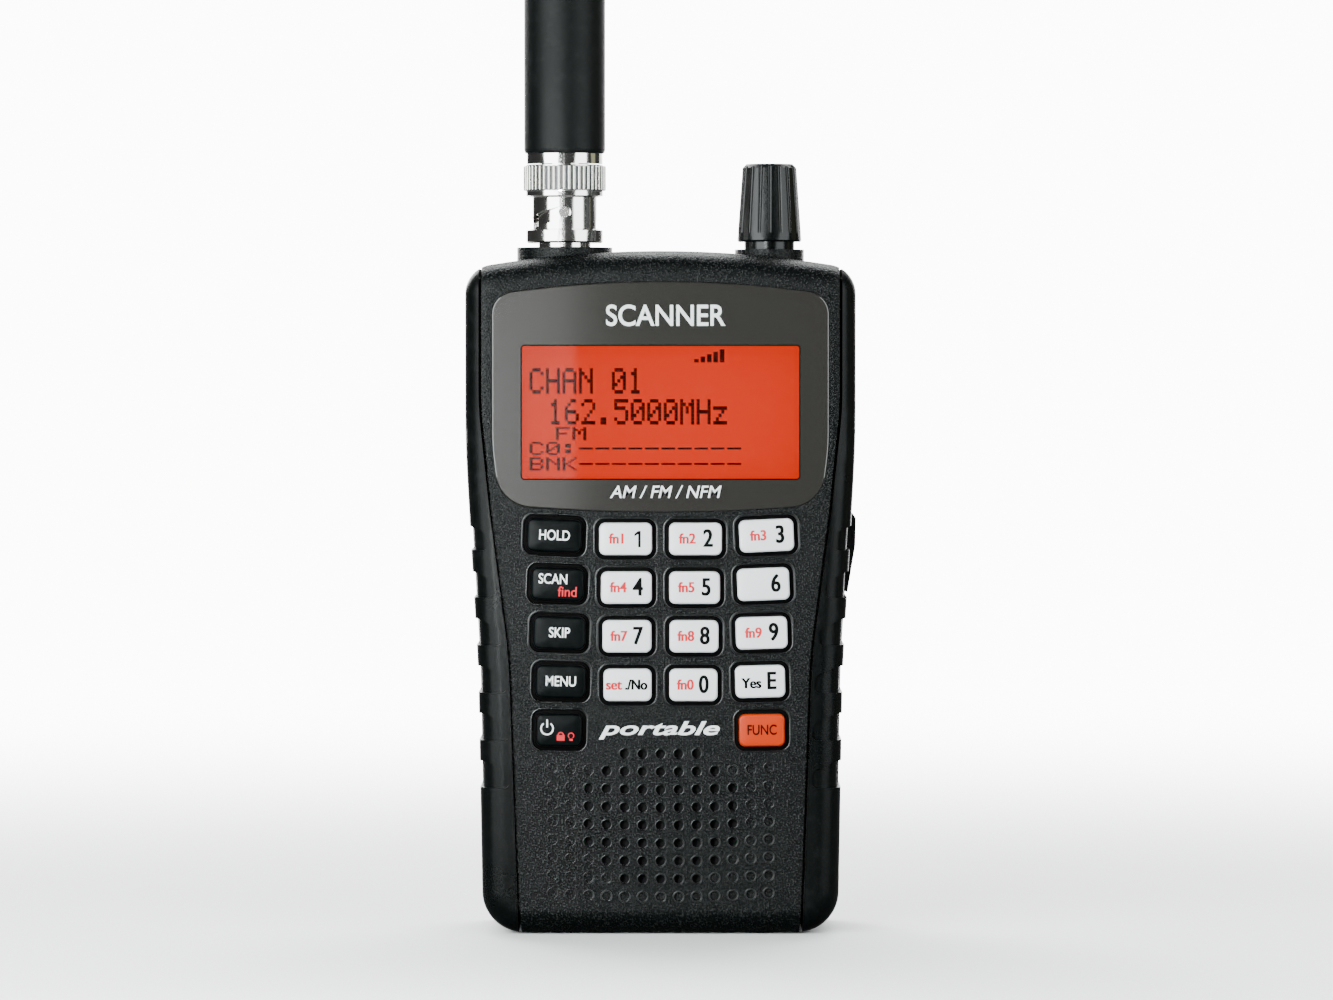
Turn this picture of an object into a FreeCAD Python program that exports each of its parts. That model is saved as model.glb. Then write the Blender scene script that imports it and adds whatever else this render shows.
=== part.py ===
"""Handheld scanner receiver, built as separate pieces in one frame.

Millimetres. +X is to the right as the display faces the user, +Z is up, and the display
faces -Y. The origin is the centre of the flat bottom that the radio stands on.
"""
import FreeCAD, Part
import math
import os
import Sketcher

from FreeCAD import Placement, Rotation, Vector

DIMENSIONS = [
    ("body_depth", 32.0, "Casing, front face to back face"),
    ("half_bottom", 31.15, "Half width at the bottom"),
    ("half_waist", 31.95, "Half width at the waist"),
    ("half_top", 34.2, "Half width of the display end"),
    ("waist_z", 46.0, "Height of the waist"),
    ("shoulder_z", 86.0, "Height where the sides become upright"),
    ("crown_z", 119.7, "Height of the middle of the top"),
    ("crown_radius", 185.0, "Radius of the arched top"),
    ("top_corner", 5.2, "Radius of the top corners"),
    ("bottom_corner", 7.2, "Radius of the bottom corners"),
    ("edge_round", 4.2, "Radius round the front and back faces"),
    ("foot_height", 0.25, "Height of the moulded feet"),
    ("foot_width", 3.5, "Width of a foot"),
    ("foot_reach", 17.4, "Feet from the middle"),
    ("split_y", 4.6, "Plane where the two shells meet"),
    ("grip_skin", 1.4, "Thickness of the side grips"),
    ("side_wall", 3.0, "Depth from the side to the inside"),
    ("front_wall", 2.4, "Thickness of the front panel"),
    ("groove_width", 0.5, "Groove between grip and front panel"),
    ("grip_top_x", 31.5, "Inner edge of a grip at the display"),
    ("grip_bottom_x", 24.4, "Inner edge of a grip at the bottom"),
    ("notch_depth", 0.6, "Depth of the finger notches"),
    ("notch_height", 4.7, "Height of one finger notch"),
    ("notch_pitch", 8.32, "Spacing of the finger notches"),
    ("notch_first_z", 67.4, "Lower edge of the top notch"),
    ("lens_half", 29.4, "Half width of the display cover"),
    ("lens_top_z", 114.3, "Height of the middle of the cover's top"),
    ("lens_bottom_z", 74.1, "Height of the middle of the cover's bottom"),
    ("lens_thick", 1.3, "Thickness of the display cover"),
    ("lens_recess", 1.2, "Depth of the cover's seat"),
    ("window_half", 24.3, "Half width of the display window"),
    ("window_low", 79.8, "Lower edge of the display window"),
    ("window_high", 103.2, "Upper edge of the display window"),
    ("key_rise", 1.0, "Keys stand out of the front panel"),
    ("key_high", 5.65, "Height of a key cap"),
    ("key_corner", 1.1, "Corner radius of a key cap"),
    ("key_gap", 0.3, "Clearance round a key cap"),
    ("key_well", 0.85, "Width of the well round a key cap"),
    ("key_flange", 0.7, "Flange that keeps a key in"),
    ("key_top_z", 70.0, "Height of the middle of the first row"),
    ("key_pitch", 8.5, "Spacing of the key rows"),
    ("key_drop", 0.6, "Inner columns sit lower by this"),
    ("grille_pitch", 3.15, "Spacing of the speaker holes"),
    ("grille_hole", 0.9, "Radius of a speaker hole"),
    ("speaker_z", 21.3, "Height of the speaker's centre"),
    ("speaker_radius", 14.0, "Radius of the speaker"),
    ("top_y", -3.9, "Depth of the parts on the top"),
    ("antenna_x", -16.9, "Antenna's place across the top"),
    ("antenna_collar", 8.4, "Radius of the collar under the antenna"),
    ("antenna_collar_z", 120.4, "Top of the antenna's collar"),
    ("jack_radius", 4.8, "Radius of the bayonet socket"),
    ("lug_z", 126.6, "Height of the bayonet lugs"),
    ("ring_low", 121.2, "Lower edge of the coupling ring"),
    ("ring_high", 134.9, "Upper edge of the coupling ring"),
    ("ring_radius", 7.25, "Radius of the knurled grip"),
    ("ring_rise", 2.2, "Rise of the ring over its quarter turn"),
    ("whip_low", 136.9, "Lower end of the antenna's rubber"),
    ("whip_high", 286.0, "Tip of the antenna"),
    ("whip_radius", 7.15, "Radius of the antenna at its foot"),
    ("whip_tip", 4.9, "Radius of the antenna near its tip"),
    ("knob_x", 19.2, "Knob's place across the top"),
    ("knob_low", 121.4, "Lower edge of the knob's skirt"),
    ("knob_high", 135.1, "Top of the knob"),
    ("knob_skirt", 5.65, "Radius of the knob's skirt"),
    ("knob_top", 4.6, "Radius of the knob's top"),
    ("knob_flutes", 18, "Number of flutes round the knob"),
    ("knob_collar", 6.1, "Radius of the collar under the knob"),
    ("shaft_radius", 3.0, "Radius of the control's shaft"),
    ("phones_x", 1.5, "Earphone socket's place across the top"),
    ("phones_bore", 1.78, "Radius of the earphone socket's bore"),
    ("phones_deep", 14.0, "Depth of the earphone socket's bore"),
    ("port_y", 8.0, "Depth of the data port"),
    ("port_z", 66.2, "Height of the data port"),
    ("cell_radius", 7.2, "Radius of a battery cell"),
    ("cell_pitch", 14.6, "Spacing of the battery cells"),
    ("cell_length", 49.5, "Length of a cell without its nub"),
    ("cell_low", 11.6, "Lower end of the cells"),
    ("cell_y", 6.9, "Depth of the cells' centres"),
    ("tray_half", 23.4, "Half width of the battery tray"),
    ("tray_low", 7.4, "Lower end of the battery tray"),
    ("tray_high", 66.2, "Upper end of the battery tray"),
    ("tray_wall", 1.2, "Wall of the battery tray"),
    ("door_thick", 1.6, "Thickness of the battery door"),
    ("door_half", 23.9, "Half width of the battery door"),
    ("door_high", 67.0, "Upper edge of the battery door"),
    ("board_thick", 1.6, "Thickness of a circuit board"),
    ("clip_pin_y", 19.6, "Depth of the belt clip's pin"),
    ("clip_pin_z", 102.0, "Height of the belt clip's pin"),
    ("clip_half", 7.5, "Half width of the belt clip's lever"),
    ("clip_thick", 1.7, "Thickness of the belt clip's lever"),
]

doc = FreeCAD.newDocument("Scanner")
sheet = doc.addObject("Spreadsheet::Sheet", "Dims")
nodes = []


def fill_sheet():
    """Write each driving dimension and its meaning into the sheet."""
    for row, (alias, number, note) in enumerate(DIMENSIONS, 1):
        sheet.set(f"A{row}", note)
        sheet.set(f"B{row}", str(number))
        sheet.setAlias(f"B{row}", alias)
    doc.recompute()


def value(expression):
    """The number that an expression over the sheet stands for."""
    if not isinstance(expression, str):
        return float(expression)
    result = sheet.evalExpression(expression)
    return float(getattr(result, "Value", result))


def bind(thing, prop, expression):
    """Bind a property to an expression over the sheet, or set a plain number."""
    if isinstance(expression, str):
        thing.setExpression(prop, expression)
    else:
        thing.setExpression(prop, str(expression))


def keep(thing, node):
    """Name an object as one of the finished pieces."""
    thing.Label = node
    nodes.append(thing)
    return thing


# ---- sketches and bodies -------------------------------------------------------------

def new_body(name):
    return doc.addObject("PartDesign::Body", name + "_body")


def attach(feature, body, role):
    """Lay a sketch or a primitive on one of the body's own origin planes."""
    plane = next(item for item in body.Origin.OriginFeatures if item.Role == role)
    feature.AttachmentSupport = [(plane, "")]
    feature.MapMode = "FlatFace"


def new_sketch(body, role, offset=0.0):
    """A sketch on an origin plane of the body, moved along the plane's normal."""
    sketch = body.newObject("Sketcher::SketchObject", "outline")
    attach(sketch, body, role)
    bind(sketch, "AttachmentOffset.Base.z", offset)
    return sketch


def fix_point(sketch, geometry, position, across, up):
    """Tie a point of the sketch to expressions over the sheet."""
    for kind, axis, expression in (("DistanceX", -2, across), ("DistanceY", -1, up)):
        number = value(expression)
        if abs(number) < 1e-9:
            sketch.addConstraint(Sketcher.Constraint("PointOnObject", geometry, position, axis))
            continue
        index = sketch.addConstraint(
            Sketcher.Constraint(kind, -1, 1, geometry, position, number))
        if isinstance(expression, str):
            sketch.setExpression(f"Constraints[{index}]", expression)


def add_polygon(sketch, corners):
    """A closed run of lines whose corners are pairs of expressions."""
    points = [Vector(value(across), value(up), 0) for across, up in corners]
    first = sketch.GeometryCount
    count = len(points)
    for index in range(count):
        sketch.addGeometry(Part.LineSegment(points[index], points[(index + 1) % count]))
    for index, (across, up) in enumerate(corners):
        after = first + (index + 1) % count
        sketch.addConstraint(Sketcher.Constraint("Coincident", first + index, 2, after, 1))
        fix_point(sketch, first + index, 1, across, up)


def add_circle(sketch, across, up, radius):
    centre = Vector(value(across), value(up), 0)
    index = sketch.addGeometry(Part.Circle(centre, Vector(0, 0, 1), value(radius)))
    constraint = sketch.addConstraint(Sketcher.Constraint("Radius", index, value(radius)))
    if isinstance(radius, str):
        sketch.setExpression(f"Constraints[{constraint}]", radius)
    fix_point(sketch, index, 3, across, up)


def pad(body, sketch, length, reverse=False, both=False):
    feature = body.newObject("PartDesign::Pad", "pad")
    feature.Profile = sketch
    bind(feature, "Length", length)
    feature.Reversed = reverse
    feature.Midplane = both
    return feature


def pocket(body, sketch, depth, reverse=False, both=False):
    feature = body.newObject("PartDesign::Pocket", "pocket")
    feature.Profile = sketch
    bind(feature, "Length", depth)
    feature.Reversed = reverse
    feature.Midplane = both
    return feature


def placed(thing, x=0, y=0, z=0, turn=None):
    """Place an object at expressions over the sheet, turned by (axis, angle)."""
    if turn:
        thing.Placement = Placement(Vector(), Rotation(*turn))
    for name, expression in (("x", x), ("y", y), ("z", z)):
        bind(thing, f"Placement.Base.{name}", expression)
    return thing


def turned(name, profile, x=0, y=0, z=0, turn=None):
    """A body spun about its own Z axis from a closed profile of (radius, height) pairs."""
    body = new_body(name)
    sketch = new_sketch(body, "XZ_Plane")
    add_polygon(sketch, profile)
    spin = body.newObject("PartDesign::Revolution", "spin")
    spin.Profile = sketch
    spin.ReferenceAxis = (sketch, ["V_Axis"])
    spin.Angle = 360.0
    doc.recompute()
    return placed(body, x, y, z, turn)


def plate(name, role, corners, thick, offset=0.0, reverse=False, both=False, holes=()):
    """A body padded from a polygon, with round holes through it."""
    body = new_body(name)
    sketch = new_sketch(body, role, offset)
    add_polygon(sketch, corners)
    for across, up, radius in holes:
        add_circle(sketch, across, up, radius)
    pad(body, sketch, thick, reverse, both)
    doc.recompute()
    return body


def rectangle(left, low, right, high):
    return [(left, low), (right, low), (right, high), (left, high)]


# ---- primitives and booleans ----------------------------------------------------------

def box(name, low, high):
    """A Part box between two corners, each a triple of expressions."""
    thing = doc.addObject("Part::Box", name)
    for prop, start, end in zip(("Length", "Width", "Height"), low, high):
        bind(thing, prop, f"({end}) - ({start})")
    return placed(thing, *low)


def rod(name, radius, length, x=0, y=0, z=0, turn=None):
    thing = doc.addObject("Part::Cylinder", name)
    bind(thing, "Radius", radius)
    bind(thing, "Height", length)
    return placed(thing, x, y, z, turn)


def joined(name, *parts):
    thing = doc.addObject("Part::MultiFuse", name)
    thing.Shapes = list(parts)
    thing.Refine = True
    return thing


def cut(name, base, *tools):
    thing = doc.addObject("Part::Cut", name)
    thing.Base = base
    thing.Tool = tools[0] if len(tools) == 1 else joined(name + "_tools", *tools)
    return thing


def shared(name, base, tool):
    thing = doc.addObject("Part::Common", name)
    thing.Base = base
    thing.Tool = tool
    return thing


def grouped(name, parts):
    """Separate solids that share one piece's name."""
    thing = doc.addObject("Part::Compound", name)
    thing.Links = list(parts)
    return thing


def solid(name, shape):
    thing = doc.addObject("Part::Feature", name)
    thing.Shape = shape
    return thing


SCREW_PLACES = [(-28.2, 111), (28.2, 111), (-26.6, 8.5), (26.6, 8.5)]
CLIP_SCREW_Z = [91.5, 108.5]
PANEL_DEPTH = 4
DIMPLE_DEPTH = 0.6
FIT_GAP = 0.1
TO_BACK = (Vector(1, 0, 0), -90)
TO_FRONT = (Vector(1, 0, 0), 90)
TO_RIGHT = (Vector(0, 1, 0), 90)


# ---- outline of the casing ------------------------------------------------------------

def rounded_wire(corners):
    """A closed wire in the XZ plane through (x, z, radius) corners, rounded by arcs."""
    count = len(corners)
    trims = []
    for index, (x, z, radius) in enumerate(corners):
        here = Vector(x, 0, z)
        before = Vector(corners[index - 1][0], 0, corners[index - 1][1])
        after_corner = corners[(index + 1) % count]
        after = Vector(after_corner[0], 0, after_corner[1])
        back = (before - here).normalize()
        ahead = (after - here).normalize()
        half = back.getAngle(ahead) / 2
        reach = radius / math.tan(half)
        middle = here + (back + ahead).normalize() * (radius / math.sin(half) - radius)
        trims.append((here + back * reach, middle, here + ahead * reach))
    edges = []
    for index, (start, middle, end) in enumerate(trims):
        edges.append(Part.Arc(start, middle, end).toShape())
        following = trims[(index + 1) % count][0]
        if (following - end).Length > 1e-6:
            edges.append(Part.LineSegment(end, following).toShape())
    return Part.Wire(edges)


def mirrored_corners(right_side, middle_high, middle_low=None):
    """Corners of a symmetric outline: its right side upwards, then its left side down."""
    left_side = [(-x, z, radius) for x, z, radius in reversed(right_side)]
    corners = list(right_side) + [middle_high] + left_side
    if middle_low:
        corners.append(middle_low)
    return corners


def arch(peak, radius, reach):
    """Height of the corner, and the slope, of two tangents to an arch that wide."""
    angle = math.asin(reach / radius)
    return peak + radius * (1 / math.cos(angle) - 1), math.tan(angle)


def casing_face(inset):
    """The casing's outline seen from the front, drawn in by an inset."""
    top = value("Dims.half_top")
    peak, slope = arch(value("Dims.crown_z"), value("Dims.crown_radius"), top - 6)
    right_side = [
        (value("Dims.half_bottom"), value("Dims.foot_height"), value("Dims.bottom_corner")),
        (value("Dims.half_waist"), value("Dims.waist_z"), 260),
        (top, value("Dims.shoulder_z"), 220),
        (top, peak - top * slope, value("Dims.top_corner")),
    ]
    middle = (0, peak, value("Dims.crown_radius"))
    face = Part.Face(rounded_wire(mirrored_corners(right_side, middle)))
    if inset:
        face = face.makeOffset2D(-inset)
    return face


def casing_block(inset):
    """The casing's whole form, with its front and back edges rounded."""
    depth = value("Dims.body_depth") - 2 * inset
    face = casing_face(inset)
    face.translate(Vector(0, -depth / 2, 0))
    block = face.extrude(Vector(0, depth, 0))
    rim = []
    for edge in block.Edges:
        ends = [vertex.Point.y for vertex in edge.Vertexes]
        if abs(ends[0] - ends[-1]) < 1e-6:
            rim.append(edge)
    return block.makeFillet(value("Dims.edge_round") - inset * 0.8, rim)


def grip_region(shift, sign):
    """All the space outside a grip's inner edge, on one side of the casing."""
    top = value("Dims.grip_top_x") + shift
    bottom = value("Dims.grip_bottom_x") + shift
    corners = [
        (bottom, -5, 0.1),
        (bottom + 1.9, 49, 90),
        (top - 1.9, 74, 60),
        (top, 92, 60),
        (top, 130, 0.1),
        (45, 130, 0.1),
        (45, -5, 0.1),
    ]
    wire = rounded_wire([(sign * x, z, radius) for x, z, radius in corners])
    face = Part.Face(wire)
    face.translate(Vector(0, -20, 0))
    return face.extrude(Vector(0, 20 + value("Dims.split_y"), 0))


def notch_tools(sign):
    """Six D-shaped blocks that mark where the finger notches lie on one grip."""
    tools = []
    height = value("Dims.notch_height")
    for index in range(6):
        low = value("Dims.notch_first_z") - index * value("Dims.notch_pitch")
        inner = 30.3 - 1.62 * index + 0.172 * index * index
        corners = [
            (inner, low, 0.8),
            (inner, low + height * 0.62, 1.4),
            (inner + 4.2, low + height, 5.0),
            (45, low + height, 0.1),
            (45, low, 0.1),
        ]
        face = Part.Face(rounded_wire([(sign * x, z, radius) for x, z, radius in corners]))
        face.translate(Vector(0, -20, 0))
        tools.append(face.extrude(Vector(0, 20 + value("Dims.split_y") - 3, 0)))
    return tools


def make_casing_forms():
    """The forms that the shells, the grips and the door are cut from."""
    whole = solid("casing_form", casing_block(0))
    skin = solid("skin_form", casing_block(value("Dims.grip_skin")))
    shallow = solid("notch_form", casing_block(value("Dims.notch_depth")))
    inside = casing_face(value("Dims.side_wall"))
    inside.translate(Vector(0, value("Dims.front_wall - Dims.body_depth / 2"), 0))
    depth = value("Dims.body_depth - 2 * Dims.front_wall")
    hollow = solid("hollow_form", inside.extrude(Vector(0, depth, 0)))
    return whole, skin, shallow, hollow


# ---- casing ---------------------------------------------------------------------------

KEY_X = [18.5, 17.95, 17.65, 17.4, 17.7]
KEY_INNER_X = [6.1, 5.95, 5.85, 5.75]
KEY_WIDTH = [9.5, 9.1, 9.0, 8.7, 8.0]
KEY_INNER_WIDTH = [9.2, 8.85, 8.55, 8.4]
KEY_TILT = [2.5, 2.2, 1.8, 1.4, 0.8]
KEY_NAMES = [
    ["key_hold", "key_1", "key_2", "key_3"],
    ["key_scan", "key_4", "key_5", "key_6"],
    ["key_skip", "key_7", "key_8", "key_9"],
    ["key_menu", "key_no", "key_0", "key_enter"],
    ["key_power", None, None, "key_func"],
]


def key_places():
    """Name, x, z expression, width and tilt of every key."""
    for row, names in enumerate(KEY_NAMES):
        for column, name in enumerate(names):
            if name is None:
                continue
            side = -1 if column < 2 else 1
            height = f"Dims.key_top_z - {row} * Dims.key_pitch"
            if column in (0, 3):
                yield name, side * KEY_X[row], height, KEY_WIDTH[row], side * KEY_TILT[row]
            else:
                lower = height + " - Dims.key_drop"
                yield name, side * KEY_INNER_X[row], lower, KEY_INNER_WIDTH[row], 0


def key_openings(border, low, high):
    """One rounded block round each key, wider than its cap by a border."""
    blocks = []
    for _name, x, height, width, tilt in key_places():
        half = width / 2 + border
        rise = value("Dims.key_high") / 2 + border
        radius = value("Dims.key_corner") + border
        corners = [(-half, -rise, radius), (half, -rise, radius),
                   (half, rise, radius), (-half, rise, radius)]
        block = Part.Face(rounded_wire(corners)).extrude(Vector(0, high - low, 0))
        block.rotate(Vector(), Vector(0, 1, 0), -tilt)
        block.translate(Vector(x, low, value(height)))
        blocks.append(block)
    return blocks


def grille_places():
    """Place of each speaker hole, and whether it goes right through."""
    pitch = value("Dims.grille_pitch")
    reach = 13.6
    for row in range(9):
        columns = range(-2, 3) if row == 0 else range(-6, 7)
        for column in columns:
            x = column * pitch
            straight = 31.9 - row * 3.13
            open_hole = math.hypot(x, straight - value("Dims.speaker_z")) < reach
            yield x, straight + 0.7 * (x / 18.9) ** 2 - 0.1, open_hole


def lens_face(shrink):
    """The outline of the display cover."""
    half = value("Dims.lens_half")
    peak, slope = arch(value("Dims.lens_top_z"), 192, 25.5)
    dip, rise = arch(-value("Dims.lens_bottom_z"), 313, 21)
    right_side = [
        (half - 1.3, -dip + (half - 1.3) * rise, 6.5),
        (half, 85.5, 40),
        (half, peak - half * slope, 4.0),
    ]
    corners = mirrored_corners(right_side, (0, peak, 192), (0, -dip, 313))
    face = Part.Face(rounded_wire(corners))
    return face.makeOffset2D(-shrink) if shrink else face


def make_grips(whole, skin, shallow):
    for side, sign in (("left", -1), ("right", 1)):
        reach = value("Dims.groove_width / 2")
        region = solid(f"grip_{side}_region", grip_region(reach, sign))
        blank = shared(f"grip_{side}_blank", whole, region)
        hollowed = cut(f"grip_{side}_hollow", blank, skin)
        marks = Part.makeCompound(notch_tools(sign))
        band = solid(f"grip_{side}_marks", marks.cut(shallow.Shape))
        keep(cut(f"grip_{side}", hollowed, band), f"side_grip_{side}")


def make_front_housing(whole, skin, hollow):
    front_half = box("front_half", (-40, -20, -2), (40, "Dims.split_y", 125))
    blank = shared("front_blank", whole, front_half)
    seat = -value("Dims.groove_width") / 2
    sides = []
    for sign in (-1, 1):
        ring = grip_region(seat, sign).cut(skin.Shape)
        sides.append(solid("grip_seat", ring))
    tub = cut("front_tub", blank, hollow, *sides)
    collars = [
        rod("antenna_collar", "Dims.antenna_collar", "Dims.antenna_collar_z - 113.5",
            "Dims.antenna_x", "Dims.top_y", 113.5),
        rod("knob_collar", "Dims.knob_collar", "120.05 - 115.0",
            "Dims.knob_x", "Dims.top_y", 115.0),
    ]
    posts = [rod("post", 2.6, 15, x, -10.4, z, TO_BACK) for x, z in SCREW_PLACES]
    posts += [box("post_web", (x - 1.0 if x > 0 else x - 4, -10.4, z - 0.8),
                  (x + 4 if x > 0 else x + 1.0, -6, z + 0.8)) for x, z in SCREW_PLACES]
    inner_posts = shared("posts_inside", joined("posts", *posts), skin)
    feet = [box("foot", (f"{sign} * Dims.foot_reach - Dims.foot_width / 2", -11, 0),
                (f"{sign} * Dims.foot_reach + Dims.foot_width / 2", "Dims.split_y", 1.2))
            for sign in (-1, 1)]
    filled = joined("front_filled", tub, *collars, inner_posts, *feet)
    holes = [
        rod("jack_hole", 4.65, 12, "Dims.antenna_x", "Dims.top_y", 112),
        rod("bushing_hole", 3.8, 12, "Dims.knob_x", "Dims.top_y", 112),
        rod("knob_recess", 4.8, 3, "Dims.knob_x", "Dims.top_y", 118.9),
        rod("phones_hole", 3.0, 12, "Dims.phones_x", "Dims.top_y", 112),
    ]
    holes += [rod("screw_hole", 1.0, 11, x, -6.4, z, TO_BACK) for x, z in SCREW_PLACES]
    drilled = cut("front_drilled", filled, *holes)
    doc.recompute()

    body = new_body("front")
    lens_seat = lens_face(-FIT_GAP)
    lens_seat.translate(Vector(0, -17, 0))
    seat_depth = 1 + value("Dims.lens_recess")
    panel_y = -value("Dims.body_depth") / 2
    cuts = [lens_seat.extrude(Vector(0, seat_depth, 0))]
    cuts += key_openings(value("Dims.key_gap"), panel_y - 1, panel_y + PANEL_DEPTH + 1)
    cuts += key_openings(value("Dims.key_well"), panel_y - 1, panel_y + DIMPLE_DEPTH)
    trimmed = solid("front_trimmed", drilled.Shape.cut(Part.makeCompound(cuts)))
    body.BaseFeature = trimmed
    window = new_sketch(body, "XZ_Plane", "Dims.body_depth / 2")
    add_polygon(window, rectangle("-Dims.window_half - 0.9", "Dims.window_low - 0.9",
                                  "Dims.window_half + 0.9", "Dims.window_high + 0.9"))
    pocket(body, window, PANEL_DEPTH)
    through = new_sketch(body, "XZ_Plane", "Dims.body_depth / 2")
    shallow = new_sketch(body, "XZ_Plane", "Dims.body_depth / 2")
    for x, z, open_hole in grille_places():
        add_circle(through if open_hole else shallow, x, z, "Dims.grille_hole")
    pocket(body, through, PANEL_DEPTH)
    pocket(body, shallow, DIMPLE_DEPTH)
    doc.recompute()
    keep(body, "front_housing")


def make_rear_housing(whole, hollow):
    rear_half = box("rear_half", (-40, "Dims.split_y", -2), (40, 20, 125))
    blank = shared("rear_blank", whole, rear_half)
    tub = cut("rear_tub", blank, hollow)
    tray = box("tray", ("-Dims.tray_half", -1.6, "Dims.tray_low"),
               ("Dims.tray_half", "Dims.body_depth / 2 - Dims.door_thick", "Dims.tray_high"))
    posts = [rod("rear_post", 3.1, 9.4, x, "Dims.split_y", z, TO_BACK) for x, z in SCREW_PLACES]
    posts += [rod("clip_post", 2.8, 5, 0, 9, z, TO_BACK) for z in CLIP_SCREW_Z]
    inner = shared("rear_posts", joined("rear_post_set", *posts), blank)
    feet = [box("rear_foot", (f"{sign} * Dims.foot_reach - Dims.foot_width / 2",
                              "Dims.split_y", 0),
                (f"{sign} * Dims.foot_reach + Dims.foot_width / 2", 11, 1.2))
            for sign in (-1, 1)]
    filled = joined("rear_filled", tub, tray, inner, *feet)
    wall = "Dims.tray_wall"
    tools = [
        box("tray_inside", (f"-Dims.tray_half + {wall}", -0.5, f"Dims.tray_low + {wall}"),
            (f"Dims.tray_half - {wall}", 20, f"Dims.tray_high - {wall}")),
        box("door_seat", (f"-Dims.door_half - {FIT_GAP}", "Dims.body_depth / 2 - Dims.door_thick", -2),
            (f"Dims.door_half + {FIT_GAP}", 20, f"Dims.door_high + {FIT_GAP}")),
        box("port_window", (28, "Dims.port_y - 1.9", "Dims.port_z - 4.7"),
            (36, "Dims.port_y + 1.9", "Dims.port_z + 4.7")),
    ]
    for x, z in SCREW_PLACES:
        tools.append(rod("screw_way", 1.15, 12, x, 4, z, TO_BACK))
        tools.append(rod("head_way", 2.2, 8, x, 11.6, z, TO_BACK))
    tools += [rod("clip_hole", 1.2, 10, 0, 10, z, TO_BACK) for z in CLIP_SCREW_Z]
    keep(cut("rear", filled, *tools), "rear_housing")


def make_battery_door(whole):
    region = box("door_region",
                 ("-Dims.door_half", "Dims.body_depth / 2 - Dims.door_thick", 0),
                 ("Dims.door_half", 20, "Dims.door_high"))
    blank = shared("door_blank", whole, region)
    ribs = [box("door_rib", (-8, 15.5, f"Dims.door_high - 5 - {2.2 * index}"),
                (8, 17, f"Dims.door_high - 4 - {2.2 * index}")) for index in range(4)]
    keep(cut("door", blank, *ribs), "battery_door")


def make_screws():
    """Pan-head screws that hold the two shells together from behind."""
    screws = []
    for x, z in SCREW_PLACES:
        shank = rod("shank", 1.0, 15, x, -3.4, z, TO_BACK)
        head = rod("head", 1.9, 1.3, x, 11.6, z, TO_BACK)
        slot = box("slot", (x - 1.2, 12.4, z - 0.25), (x + 1.2, 14, z + 0.25))
        screws.append(cut("screw", joined("screw_blank", shank, head), slot))
    keep(grouped("screws", screws), "housing_screws")


# ---- display --------------------------------------------------------------------------

def make_display():
    cover = lens_face(0.0)
    cover.translate(Vector(0, value("Dims.lens_recess - Dims.body_depth / 2"), 0))
    block = cover.extrude(Vector(0, -value("Dims.lens_thick"), 0))
    edge = min(block.Faces, key=lambda face: face.CenterOfMass.y)
    keep(solid("lens", block.makeChamfer(0.25, edge.Edges)), "display_lens")

    depth = "Dims.body_depth / 2 - Dims.front_wall"
    frame_box = box("frame_box", (-28.5, f"-({depth})", 76.0), (28.5, -11.2, 107.0))
    room = box("frame_room", (-28.0, -13.3, 76.5), (28.0, -11.2, 106.5))
    opening = box("frame_opening", ("-Dims.window_half - 0.4", -14, "Dims.window_low - 0.4"),
                  ("Dims.window_half + 0.4", -11, "Dims.window_high + 0.4"))
    keep(cut("frame", frame_box, room, opening), "lcd_frame")
    glass = rectangle(-27.9, 76.6, 27.9, 106.4)
    keep(plate("glass", "XZ_Plane", glass, 1.1, 12.2), "lcd_glass")
    keep(plate("backlight", "XZ_Plane", glass, 1.0, 11.2), "lcd_backlight")


# ---- keypad ---------------------------------------------------------------------------

def make_keys():
    rise = "Dims.body_depth / 2 + Dims.key_rise"
    for name, x, height, width, tilt in key_places():
        body = new_body(name)
        cap = body.newObject("PartDesign::AdditiveBox", "cap")
        attach(cap, body, "XY_Plane")
        bind(cap, "Length", width)
        bind(cap, "Width", f"{rise} - 13.0")
        bind(cap, "Height", "Dims.key_high")
        bind(cap, "AttachmentOffset.Base.x", -width / 2)
        bind(cap, "AttachmentOffset.Base.y", f"-({rise})")
        bind(cap, "AttachmentOffset.Base.z", "-Dims.key_high / 2")
        doc.recompute()
        uprights = [f"Edge{index}" for index, edge in enumerate(cap.Shape.Edges, 1)
                    if abs(edge.Vertexes[0].Point.y - edge.Vertexes[-1].Point.y) > 1]
        corners = body.newObject("PartDesign::Fillet", "corners")
        corners.Base = (cap, uprights)
        bind(corners, "Radius", "Dims.key_corner")
        doc.recompute()
        face_y = -value(rise)
        rim = [f"Edge{index}" for index, edge in enumerate(corners.Shape.Edges, 1)
               if all(abs(vertex.Point.y - face_y) < 1e-6 for vertex in edge.Vertexes)]
        top = body.newObject("PartDesign::Fillet", "top_edge")
        top.Base = (corners, rim)
        top.Radius = 0.4
        flange = new_sketch(body, "XZ_Plane", 12.85)
        half = width / 2
        add_polygon(flange, rectangle(f"-{half} - Dims.key_flange",
                                      "-Dims.key_high / 2 - Dims.key_flange",
                                      f"{half} + Dims.key_flange",
                                      "Dims.key_high / 2 + Dims.key_flange"))
        pad(body, flange, 0.6)
        placed(body, x, 0, height, (Vector(0, 1, 0), -tilt))
        keep(body, name)


def cut_out_speaker(body, depth):
    """Notch a flat piece round the speaker, through the layer in front of a depth."""
    notch = new_sketch(body, "XZ_Plane", depth)
    add_circle(notch, 0, "Dims.speaker_z", "Dims.speaker_radius + 1")
    pocket(body, notch, 3, reverse=True)


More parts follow.
